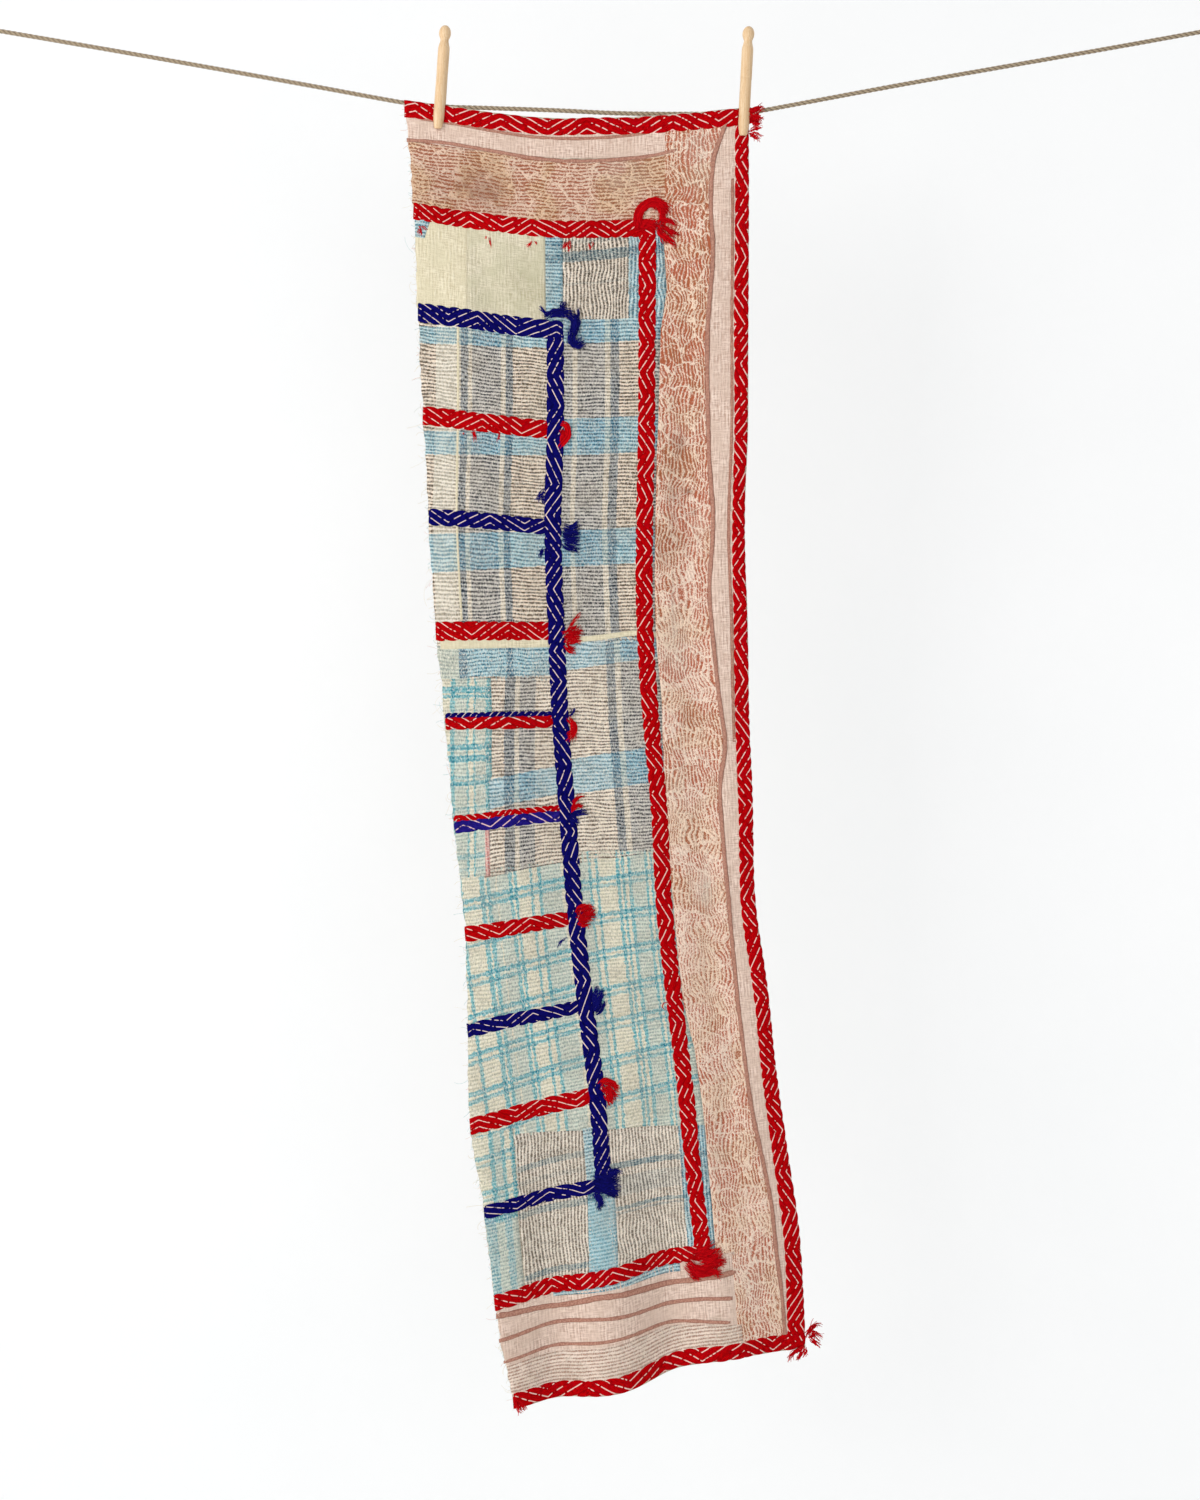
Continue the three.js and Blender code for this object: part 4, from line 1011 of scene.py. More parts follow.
PLAIN = {  # the deep and the pale of its threads, blotches, old stains
    "cream_khadi": ("#D2C4A2", "#EFE4C8", "#DDD2B2", "#A49C78"),
    "grey_khadi": ("#C0B598", "#E6DCC4", "#C9C2A4", "#948E68"),
    "pale_selvedge": ("#C2A18F", "#F2DACA", "#DABFAD", "#8A765C"),
}
finishes.update({name: plain_cotton(name, *tones) for name, tones in PLAIN.items()})

# %% [markdown]
# ## Block print under swirling rows
#
# The border was printed with wooden blocks in madder brown on cream and then
# quilted in wandering rows, so it reads as a maze: short brown strokes a
# millimetre wide between pale lines, in cells about 27 mm across whose pale
# outlines are the print's own shapes. Some cells are inked more heavily than
# others. It is pinker in some stretches, browner in others and rubbed nearly
# bare in a few.


# %% Printed border
CELL = 27.0  # width of the larger shapes of the print


def block_print(name, slender, pinks, browns, ruled, fading=(0.0, 0.0)):
    """Madder ink where the sum of noises and waves is low. slender stretches the strokes along the rows,
    ruled is how far the pale sewing lines show, pinks and browns are the ink and the cloth in the two
    kinds of stretch. fading is how much barer the print is above v = 250 and below v = 650."""
    finish, add = bare_tree(name)
    weave = add("UVMap", uv_map="weave")
    thread, stain = (add("Attribute", attribute_name=kept) for kept in ("thread", "stain"))
    noise = {"Vector": weave, "Detail": 2.0}
    strokes = add("TexNoise", {**noise, "Vector": add("Mapping", {"Vector": weave, "Scale": slender}), "Scale": 1.0,
                               "Roughness": 0.6})
    grain = add("TexNoise", {**noise, "Scale": 0.85, "Roughness": 0.6})
    blots, wobble = (add("TexNoise", {**noise, "Scale": scale}) for scale in (0.12, 0.06))
    zone = add("TexNoise", (weave, 0.035, 1.0))
    slow = add("TexNoise", (weave, 0.024, 3.0))
    wave = row_wave(add)
    line = add("Math MULTIPLY", (add("MapRange", (wave, 0.45, 0.9, 0.0, ruled)),
                                 add("MapRange", (zone, 0.4, 0.55, 0.15, 1.0))))
    bare = add("Math ADD", (shaken(add, wave, (strokes, 4.6), (grain, 4.4), (blots, 1.2)), line))

    # The print's own shapes: cells with pale outlines, each inked more or less heavily
    bent = add("VectorMath ADD", (weave, add("Math MULTIPLY", (wobble, 26.0))))
    for cell, half_line, strength in ((CELL, 0.85, 2.6), (12.0, 0.6, 1.6)):
        shapes = add("TexVoronoi", {"Vector": bent, "Scale": 1 / cell, "Randomness": 0.8}, feature="DISTANCE_TO_EDGE")
        outline = (shapes.outputs["Distance"], 0.5 * half_line / cell, 1.5 * half_line / cell, strength, 0.0)
        bare = add("Math ADD", (bare, add("MapRange", outline)))
    inked = add("TexVoronoi", {"Vector": bent, "Scale": 1 / CELL, "Randomness": 0.8})
    heavy = add("MapRange", (add("SeparateColor", (inked.outputs["Color"],)).outputs[0], 0.0, 1.0, 0.3, -0.6))
    bare = add("Math ADD", (bare, heavy))
    paler = add("MapRange", (add("SeparateXYZ", (weave,)).outputs[1], 250.0, 650.0, *fading))
    bare = add("Math ADD", (bare, paler))
    printed = add("MapRange", (bare, -0.8, 0.9, 1.0, 0.0))
    warm = add("MapRange", (slow, 0.42, 0.58))
    madder, cream = (add("Mix", (warm, pink, brown)) for pink, brown in zip(pinks, browns))
    colour = add("Mix", (printed, cream, madder))
    lit = add("Mix", (add("MapRange", (thread, 0.3, 1.0)), madder, "#F0DCCA"))
    colour = add("Mix", (add("MapRange", (thread, 0.0, 0.1, 0.0, 0.6)), colour, lit))
    colour = add("Mix", (add("MapRange", (stain, 0.0, 1.4, 0.0, 0.62)), colour, "#85543E"))
    colour = add("Mix", (add("MapRange", (stain, 0.0, -1.0, 0.0, 0.6)), colour, "#E2D2C0"))
    height = add("Math MULTIPLY_ADD", (strokes, 0.8, add("Math ADD", (line, bare))))
    cover(add, colour, COTTON, height, 0.6, 0.0005)
    return finish


finishes["printed_border_top"] = block_print("printed_border_top", (0.36, 0.9, 1.0), ("#A96247", "#F3D3BB"),
                                             ("#A0623F", "#EDC9A7"), 1.0)
finishes["printed_border_right"] = block_print("printed_border_right", (0.85, 0.48, 1.0), ("#BA6244", "#FEE2CD"),
                                               ("#B06642", "#FADCC2"), 0.6, fading=(-0.55, 0.3))
for piece, finish in zip(patches, patch_finishes):
    piece.data.materials.append(finishes[finish])
print("finishes in all:", len(finishes))

# %% [markdown]
# ## The ground and the back
#
# Under the patches lies the quilt's ground, and its back is what a hand feels:
# plain unbleached cotton with the same rows showing through as lines of short
# dashes. The bands are sewn through every layer, so their yarn shows there too,
# as slanting dashes. It is one closed sheet, and its raw edge is uneven where it
# was cut.


# %% Ground sheet
def past_band(u, v, downs, crossings):
    """Millimetres from a place to the edge of the nearest band of one colour, negative inside it. downs
    rows are (line, half width, from v, to v), crossings rows (v, half width, to u)."""
    nearest = np.full(np.shape(u), 99.0)
    for line_down, half, start, end in downs:
        nearest = np.minimum(nearest, np.maximum.reduce([np.abs(u - line_down(v)) - half, start - v, v - end]))
    for middle, half, end in crossings:
        nearest = np.minimum(nearest, np.maximum(np.abs(v - middle) - half, u - end))
    return nearest


RED_DOWNS = [(red_line, 7.0, DOWN[1], DOWN[12]), (lambda v: outer_edge(v) - 8.5, 6.0, 8, LENGTH - 4)]
RED_CROSSINGS = [(9, 6.5, 200), (DOWN[1], 7.5, 102), (DOWN[12], 7.0, 102), (LENGTH - 9, 6.5, 200)]
NAVY_DOWNS = [(lambda v: 0 * v, 7.0, DOWN[2], DOWN[11])]
RED_CROSSINGS += [(DOWN[rung + 1], BAND[rung + 1] / 2 - 1.5, 0) for rung in (2, 4, 5, 7, 9)]
NAVY_CROSSINGS = [(DOWN[rung + 1], BAND[rung + 1] / 2 - 1.5, 0) for rung in (1, 3, 6, 8, 10)]


def ground_sheet():
    """A closed sheet from the cut edge to the outer edge, one and a half millimetres thick."""
    s = np.linspace(0, 1, 106)[:, None]
    t = np.linspace(0, 1, 380)[None]
    u, v = fill([ragged_cut, lambda v: outer_edge(v) + 0 * v, lambda u: 0 * u, lambda u: LENGTH + 0 * u], s, t)
    points, faces = sheet_between(u, v, HALF_CLOTH - 0.25, -HALF_CLOTH)
    piece = mesh_piece("quilt_ground", points, faces)
    place = np.tile(np.stack([u.ravel(), v.ravel()], 1), (2, 1))
    keep(piece, place, row=row_phase(*place.T, "across", 2.0), red=past_band(*place.T, RED_DOWNS, RED_CROSSINGS),
         navy=past_band(*place.T, NAVY_DOWNS, NAVY_CROSSINGS))
    return piece


ground = ground_sheet()
lining, add = bare_tree("unbleached_lining")
weave = add("UVMap", uv_map="weave")
dash_place = add("Mapping", {"Vector": weave, "Scale": (0.24, 0.42, 1.0)})
dashes = add("TexNoise", (dash_place, 1.0, 2.0))
dash_wave = shaken(add, row_wave(add), (dashes, 3.5))
piece_place = add("Mapping", {"Vector": weave, "Scale": (0.0095, 0.0042, 1.0)})
pieced = add("TexVoronoi", {"Vector": piece_place, "Scale": 1.0, "Randomness": 0.5}, distance="CHEBYCHEV")
old = add("TexNoise", (weave, 0.02, 5.0))
panel = add("Mix", (add("SeparateColor", (pieced.outputs["Color"],)).outputs[0], "#CDBFA6", "#BDB39F"))
plain = add("Mix", (add("MapRange", (old, 0.35, 0.65, 0.0, 0.6)), panel, "#B09B7F"))
colour = add("Mix", (add("MapRange", (dash_wave, 0.2, 0.8)), plain, "#E6DCC8"))
slanted = add("Mapping", {"Vector": weave, "Rotation": (0.0, 0.0, 0.9), "Scale": (1.7, 7.0, 1.0)}, vector_type="TEXTURE")
yarn_dashes = add("TexNoise", (slanted, 1.0, 1.0))
drawn = add("MapRange", (yarn_dashes, 0.5, 0.54, 0.0, 0.92))
for band_edge, yarn in (("red", "#A80F18"), ("navy", "#191560")):
    inside = add("MapRange", (add("Attribute", attribute_name=band_edge), 0.0, -1.0))
    colour = add("Mix", (add("Math MULTIPLY", (drawn, inside)), colour, yarn))
cover(add, colour, {"Roughness": 0.95, "Sheen Weight": 0.12, "Sheen Roughness": 0.6}, dash_wave, 0.7, 0.0005)
ground.data.materials.append(lining)
print("ground sheet:", len(ground.data.polygons), "faces")

# %% [markdown]
# ## Pattern-stitched bands
#
# The thick bands are worked with a long needle over and under the quilt, so that
# bundles of yarn lie side by side at a slant and turn back in a chevron every few
# centimetres. Between the bundles a thin line of pale quilting thread shows. Each
# bundle ends in a small bulge at the band's edge. A flat painted chevron would
# lose all of that. So a band is a profile carried along its path, whose height
# falls into a groove at each line and whose edge swells between the lines. Which
# bundle a point belongs to is its distance to the zigzag over the bundles'
# spacing, and it is kept on the mesh, so the finish draws its pale line in the
# same grooves.

# %% Ribbons
RING = np.array([-1, -0.985, -0.93, -0.82, -0.68, -0.52, -0.35, -0.17, 0, 0.17, 0.35, 0.52, 0.68, 0.82, 0.93, 0.985, 1])


def zigzag(p, seed, period):
    """A zigzag that turns at slightly uneven places, with a slope between 0.8 and 1.25 on each stretch."""
    rng = np.random.default_rng(seed)
    turns = np.cumsum(0.5 * period * rng.uniform(0.8, 1.2, 80)) - 2 * period
    slopes = np.where(np.arange(80) % 2, 1, -1) * rng.uniform(0.8, 1.25, 80)
    return np.interp(p, turns, np.cumsum(np.diff(turns, prepend=turns[0]) * slopes))


def route_over(places, step):
    """A smooth path over the cloth: its points, the direction across it, and the distance along it."""
    centres, p = smooth_route(np.concatenate([np.asarray(places, float), np.zeros((len(places), 1))], 1), step)
    across = np.cross(np.gradient(centres, axis=0), (0, 0, 1.0))
    return centres, across / np.linalg.norm(across, axis=1, keepdims=True), p


def ribbon(name, route, q, height, under, below, unit=1.0, **values):
    """A ribbon at the distances q across a route. Two more points, under, close it below the face. The
    distance across over unit, the distance along and the values are kept for its finish."""
    centres, across, p = route
    q = np.concatenate([q, under], 1)
    height = np.concatenate([height, np.full((len(p), 2), HALF_CLOTH - below)], 1)
    u, v = centres[:, :1] + q * across[:, :1], centres[:, 1:2] + q * across[:, 1:2]
    rings = on_cloth(u, v, height)
    piece = mesh_piece(name, *skin(rings, rings.mean(axis=1)))
    with_ends = lambda grid: np.append(grid.ravel(), grid[[0, -1], (q.shape[1] - 2) // 2])
    values = {"side": q / unit, "along": p[:, None] + 0 * q, **values}
    keep(piece, np.stack([with_ends(u), with_ends(v)], 1), **{label: with_ends(grid) for label, grid in values.items()})
    return piece


def chevron_band(name, path, half, seed, period=76.0, spacing=9.2, slope=0.52, base=0.55):
    """A yarn band along path (u, v). At q across, its bundle number is (q - slope zigzag(p)) / spacing.
    Height is base plus |sin(pi number)|^0.6, rounded off towards both edges."""
    route = route_over(path, 1.25)
    p = route[2]
    bend = slope * zigzag(p, seed, period)[:, None] + 0.6 * soft_noise(p, 0 * p, 13, 9, seed)[:, None]
    wide = np.interp(p, np.linspace(0, p[-1], np.size(half)), np.atleast_1d(half))[:, None]
    number_at = lambda q: (q - bend) / spacing
    swell = lambda side: 2.0 * np.abs(np.sin(np.pi * number_at(side * wide))) ** 0.55 - 1.2
    edge = np.where(RING > 0, swell(1.0), swell(-1.0))
    q = RING * (wide + edge * RING ** 2)
    number = number_at(q)
    dome = np.sqrt(np.clip(1 - np.abs(RING) ** 4, 0, 1))
    height = HALF_CLOTH + 0.05 + dome * (base + np.abs(np.sin(np.pi * number)) ** 0.6)
    height = height + 0.12 * dome * soft_noise(p[:, None], q, 2.2, 1.1, seed + 1)
    ends = ease(p, 0, 3.0) * (1 - ease(p, p[-1] - 3.0, p[-1]))
    height = HALF_CLOTH - 0.1 + (height - HALF_CLOTH + 0.1) * np.maximum(ends, 0.15)[:, None]
    number = np.concatenate([number, number[:, [-3, 2]]], 1)
    return ribbon(name, route, q, height, np.array([0.6, -0.6]) * wide, 0.3, bundle=number)


def straight(from_u, to_u, from_v, to_v, count=24):
    """A path of count points between two corners. Each bound is a number or a function of the other's place."""
    v = np.linspace(from_v, to_v, count)
    ends = [bound(v) if callable(bound) else np.full(count, bound) for bound in (from_u, to_u)]
    return np.stack([ends[0] + (ends[1] - ends[0]) * np.linspace(0, 1, count), v], 1)


def crossing_band(name, section, end, seed, **shape):
    """A band that crosses the cloth from its cut edge at a section of the table."""
    v = {0: BAND[0] / 2, 13: LENGTH - BAND[13] / 2}.get(section, DOWN[section])
    start = float(cut_edge(np.array([v]))[0]) - 0.5
    sag = 0.7 * soft_noise(np.linspace(start, end, 24), 0, 40, 9, seed)
    path = np.stack([np.linspace(start, end, 24), v + sag], 1)
    return chevron_band(name, path, BAND[section] / 2 - 0.6, seed, **shape)


INNER = 8.4  # half the width of the bands that run down the cloth
red_end = float(red_line(DOWN[1:2])[0])
low_end = float(red_line(DOWN[12:13])[0])
border_half = BORDER[[0, 2, 4, 6, 8, 10, 12, 13]] / 2 - 0.5
border_path = lambda v: outer_edge(v) - np.interp(v, DOWN, BORDER) / 2
red_bands = [
    crossing_band("band_red_top", 0, 208.0, 101, period=84, spacing=8.2, slope=0.55),
    crossing_band("band_red_inner_top", 1, red_end + INNER, 102, period=58, spacing=7.2, slope=0.6),
    crossing_band("band_red_inner_bottom", 12, low_end + INNER, 103, period=66, spacing=7.6, slope=0.6),
    crossing_band("band_red_hem", 13, float(border_path(LENGTH)) + 6, 104, period=80, spacing=8.8, slope=0.6),
    chevron_band("band_red_inner", straight(red_line, red_line, DOWN[1] + 5, DOWN[12] - 4, 60), INNER, 105, period=54,
                 spacing=7.8, slope=0.58),
    chevron_band("band_red_edge", straight(border_path, border_path, 12, LENGTH - 2, 60), border_half, 106, period=74,
                 spacing=8.0, slope=0.6),
]
navy_path = straight(0, 0, DOWN[2] + 4, DOWN[11] - 2, 50)
navy_bands = [chevron_band("band_navy_down", navy_path, INNER, 107, period=74, spacing=8.0, slope=0.6)]
RUNG_END = -INNER + 1.5  # where a rung stops under the navy band
lay = lambda number: {"spacing": 7.4 - 0.1 * number, "slope": 0.66 - 0.025 * number}  # the lower bands lie flatter
for number in (2, 4, 7, 9):
    red_bands.append(crossing_band(f"rung_{number}_red", number + 1, RUNG_END, 110 + number, period=70, **lay(number)))
for number in (1, 3, 8, 10):
    end = INNER if number in (1, 10) else RUNG_END
    navy_bands.append(crossing_band(f"rung_{number}_navy", number + 1, end, 110 + number, period=70, **lay(number)))


def part_band(name, section, offset, half, seed, **shape):
    """One colour of a two-coloured rung: a narrower band, offset down from the rung's middle."""
    start = float(cut_edge(DOWN[section : section + 1])[0]) - 0.5
    u = np.linspace(start, RUNG_END, 20)
    v = DOWN[section] + offset + 0.5 * soft_noise(u, 0, 30, 9, seed)
    return chevron_band(name, np.stack([u, v], 1), half, seed, **shape)


red_bands.append(part_band("rung_5_red", 6, 1.6, 5.9, 131, period=64, spacing=8.0))
navy_bands.append(part_band("rung_5_navy_edge", 6, -6.0, 2.2, 132, period=900, spacing=7.0, slope=0.95, base=0.35))
red_bands.append(part_band("rung_6_red_edge", 7, -5.6, 2.6, 133, period=60, spacing=6.5, slope=0.8, base=0.35))
violet_band = part_band("rung_6_violet", 7, 2.4, 5.4, 134, period=60, spacing=8.2)
bands = [*red_bands, *navy_bands, violet_band]
print("bands:", len(bands), " faces:", sum(len(band.data.polygons) for band in bands))

# %% [markdown]
# The yarn is soft four-ply cotton: matt, fibrous and strongly dyed. Fine plies run
# along each bundle, the grooves are darkened as painted shade, and the pale line in
# each groove is the quilting thread, broken into stitches.


# %% Yarn finish
MATT = {"Roughness": 0.95}
YARN = {**MATT, "Specular IOR Level": 0.04}


def cotton_yarn(name, deep, bright, stray, line_colour, line_width=0.074, breaks=0.405):
    """Dyed yarn whose pale lines lie where the kept bundle number is whole. The lines fade out for
    stretches of several millimetres and are broken into stitches."""
    finish, add = bare_tree(name)
    bundle, side, along = (add("Attribute", attribute_name=kept) for kept in ("bundle", "side", "along"))
    from_line = add("Math ABSOLUTE", (add("Math SUBTRACT", (bundle, add("Math ROUND", (bundle,)))),))
    place = add("CombineXYZ", (along, side, 0.0))
    stitched, faded, patch = (add("TexNoise", (place, scale, detail))
                              for scale, detail in ((0.34, 0.0), (0.11, 1.0), (0.12, 3.0)))
    shown = add("Math ADD", (add("Math MULTIPLY", (stitched, 0.6)), faded))
    width = add("MapRange", (shown, 1.6 * breaks, 1.6 * breaks + 0.16, -0.03, line_width))
    on_line = add("MapRange", (add("Math SUBTRACT", (from_line, width)), -0.02, 0.02, 1.0, 0.0))
    plies = add("CombineXYZ", (add("Math MULTIPLY", (bundle, 9.0)), add("Math MULTIPLY", (along, 0.3)), 0.0))
    fibre = add("TexNoise", (plies, 1.0, 3.0, 0.6))
    body = add("Mix", (add("MapRange", (fibre, 0.3, 0.6)), deep, bright))
    body = add("Mix", (add("MapRange", (patch, 0.55, 0.7, 0.0, 0.4)), body, stray))
    # Painted shade: the yarn turns to its deep colour in the grooves between bundles, next to each line
    body = add("Mix", (add("MapRange", (from_line, 0.0, 0.16, 0.6, 0.0)), body, deep))
    cover(add, add("Mix", (on_line, body, line_colour)), YARN, fibre, 0.6, 0.0005)
    return finish


red_yarn = cotton_yarn("red_cotton_yarn", "#7C0004", "#C20006", "#AE0014", "#F1C8BC")
navy_yarn = cotton_yarn("navy_cotton_yarn", "#030328", "#0B0866", "#130E66", "#E8CFC8", line_width=0.066, breaks=0.40)
violet_yarn = cotton_yarn("violet_cotton_yarn", "#0F084A", "#241A80", "#33238A", "#E4BDC0")
for made, yarn in ((red_bands, red_yarn), (navy_bands, navy_yarn), ([violet_band], violet_yarn)):
    for band in made:
        band.data.materials.append(yarn)
print("yarn finishes:", red_yarn.name, navy_yarn.name, violet_yarn.name)

# %% [markdown]
# ## Stripes woven into the border
#
# The border's brown stripes stand up a little, because the quilting draws the
# cloth tight on both sides of them. Each is a low rounded ribbon along its own
# path. One runs down the whole right side as a small fold.


# %% Raised stripes
def raised_stripe(name, places, half, height, seed):
    """A low ribbon along a smooth path: height sqrt(1 - q^4) over the cloth, fading in at its ends."""
    route = route_over(places, 2.5)
    p = route[2]
    ring = np.array([-1, -0.85, -0.5, 0, 0.5, 0.85, 1])
    width = half * (1 + 0.16 * soft_noise(p, 0 * p, 6, 9, seed))[:, None]
    q = ring * width
    fade = (ease(p, 0, 8) * (1 - ease(p, p[-1] - 8, p[-1])))[:, None]
    lift = HALF_CLOTH + 0.1 + height * np.sqrt(1 - 0.99 * ring**4) * np.maximum(fade, 0.2)
    lift = lift + 0.08 * soft_noise(p[:, None], q, 3, 2, seed + 1)
    return ribbon(name, route, q, lift, np.array([0.5, -0.5]) * width, 0.2, unit=half)


down_side, upper_side = np.linspace(8, 1284, 70), np.linspace(70, 640, 30)
stripes = [
    raised_stripe("stripe_top_upper", [(-138, 17.5), (-113, 17.6), (-85, 18.6), (-56, 19.8), (-15, 21.2), (10, 21.6),
                                       (40, 21), (70, 19.4), (96, 17.4)], 1.7, 0.35, 141),
    raised_stripe("stripe_top_lower", [(-152, 41.5), (-130, 40), (-108, 39), (-75, 40), (-46, 41.6), (-12, 44), (20, 45),
                                       (55, 44), (87, 42), (108, 39.5), (124, 36.6)], 1.9, 0.4, 142),
    raised_stripe("ridge_stripe", np.stack([ridge_line(down_side), down_side], 1), 2.3, 0.75, 143),
    raised_stripe("stripe_edge", np.stack([outer_edge(upper_side) - 17.0, upper_side], 1), 1.7, 0.3, 144),
    raised_stripe("stripe_low_1", [(-124, 1191), (-90, 1195), (-58, 1199), (-30, 1197), (-14, 1196), (20, 1200), (50, 1204),
                                   (84, 1206), (112, 1205.5), (134, 1204)], 3.0, 0.35, 145),
    raised_stripe("stripe_low_2", [(-123, 1218), (-75, 1216), (-25, 1217), (39, 1224), (70, 1226.5), (95, 1227.5),
                                   (128, 1231)], 2.1, 0.3, 146),
    raised_stripe("stripe_low_3", [(-120, 1242), (-77, 1240), (-18, 1241), (36, 1243), (80, 1249), (124, 1256)],
                  1.9, 0.3, 147),
]
umber, add = bare_tree("umber_dyed_stripe")
from_middle = add("Math ABSOLUTE", (add("Attribute", attribute_name="side"),))
worn = add("TexNoise", {"Vector": add("UVMap", uv_map="weave"), "Scale": 0.5, "Detail": 3.0})
body = add("Mix", (add("MapRange", (worn, 0.35, 0.68)), "#9C6A58", "#BE8C78"))
# Painted shade: darker towards both edges, where the stripe's rounded sides turn away
body = add("Mix", (add("MapRange", (from_middle, 0.55, 0.9, 0.0, 0.6)), body, "#84594A"))
cover(add, body, MATT, worn, 0.5, 0.0004)
for stripe in stripes:
    stripe.data.materials.append(umber)
print("stripes:", len(stripes))

# %% [markdown]
# ## Tufts and loose threads
#
# Where a band ends its yarn is cut and left as a tuft. Each strand is its own
# thin tube on a bent path, because a tuft's outline is what tells yarn from felt.
# All the strands of a tuft are made at once: a start, a direction over the cloth,
# a rise off it, a curl and a droop each.


# %% Strands
def strands(paths, radius, sides=5):
    """Closed tubes along many short paths at once. paths is (strands, points, xyz), radius (strands, points)."""
    count, length = paths.shape[:2]
    ahead = np.gradient(paths, axis=1)
    ahead /= np.linalg.norm(ahead, axis=2, keepdims=True) + 1e-9
    first = np.cross(ahead, (0.31, 0.92, 0.24))
    first /= np.linalg.norm(first, axis=2, keepdims=True) + 1e-9
    second = np.cross(ahead, first)
    angle = np.linspace(0, 2 * np.pi, sides, endpoint=False)
    ring = np.cos(angle)[:, None] * first[:, :, None] + np.sin(angle)[:, None] * second[:, :, None]
    points = (paths[:, :, None] + ring * radius[:, :, None, None]).reshape(count, -1, 3)
    points = np.concatenate([points, paths[:, [0, -1]]], 1)
    one = skin(np.zeros((length, sides, 3)), np.zeros((length, 3)))[1]
    faces = one[None] + points.shape[1] * np.arange(count)[:, None, None]
    return points.reshape(-1, 3), faces.reshape(-1, 4)


def tuft(name, finish, seed, locks, lift=2.2, radius=0.42, splay=0.6):
    """A tuft from locks of (path over the cloth, half width, how many). A strand covers a random part of
    its lock's path. Its distance from the path is its own share of the width, plus a slow wave, plus a
    turn outwards that grows with the cube of the way. It lies lower towards the lock's edges and tip."""
    rng = np.random.default_rng(seed)
    t = np.linspace(0, 1, 9)
    paths = []
    for places, width, number in locks:
        places = np.asarray(places, float)
        beyond = places[-1] - places[-2]
        places = np.vstack([places, places[-1] + beyond / np.linalg.norm(beyond) * width])
        centre, _, p = route_over(places, 0.7)
        own = lambda low, high: rng.uniform(low, high, (number, 1))
        start = own(0.0, 0.42) * p[-1]
        way = start + (p[-1] * own(0.62, 1.0) - start) * t
        u, v = (np.interp(way, p, centre[:, k]) for k in (0, 1))
        side_u, side_v = (np.interp(way, p, np.gradient(centre[:, k], p)) for k in (1, 0))
        share = own(-1, 1)
        away = width * (0.8 * share + 0.22 * np.sin(2 * np.pi * (own(0.6, 1.6) * t + own(0, 1))))
        away = away + splay * width * rng.normal(0, 0.8, (number, 1)) * t**3
        height = lift + 0.42 * width * own(0.0,
                                           1.0) * np.sqrt(np.maximum(1 - 0.9 * share**2, 0)) * (1 - 0.8 * t**2) - 0.5 * t
        paths.append(on_cloth(u - away * side_u, v + away * side_v, height))
    paths = np.concatenate(paths)
    taper = radius * rng.uniform(0.75, 1.2, (len(paths), 1)) * (1 - 0.5 * t**3)
    points, faces = strands(paths, taper)
    piece = mesh_piece(name, points, faces)
    keep(piece, tone=np.repeat(rng.random(len(paths)), len(points) // len(paths)))
    piece.data.materials.append(finish)
    return piece


def loose_yarn(name, deep, bright):
    """Cut yarn: each strand has its own depth of dye, and fine fibres run along it."""
    finish, add = bare_tree(name)
    place = add("TexCoord").outputs["Object"]
    fibre = add("TexNoise", (place, 1600.0, 2.0), noise_dimensions="3D")
    mixed = add("Math MULTIPLY_ADD", (add("Attribute", attribute_name="tone"), 0.7, add("Math MULTIPLY", (fibre, 0.3))))
    cover(add, add("Mix", (mixed, deep, bright)), YARN)
    return finish


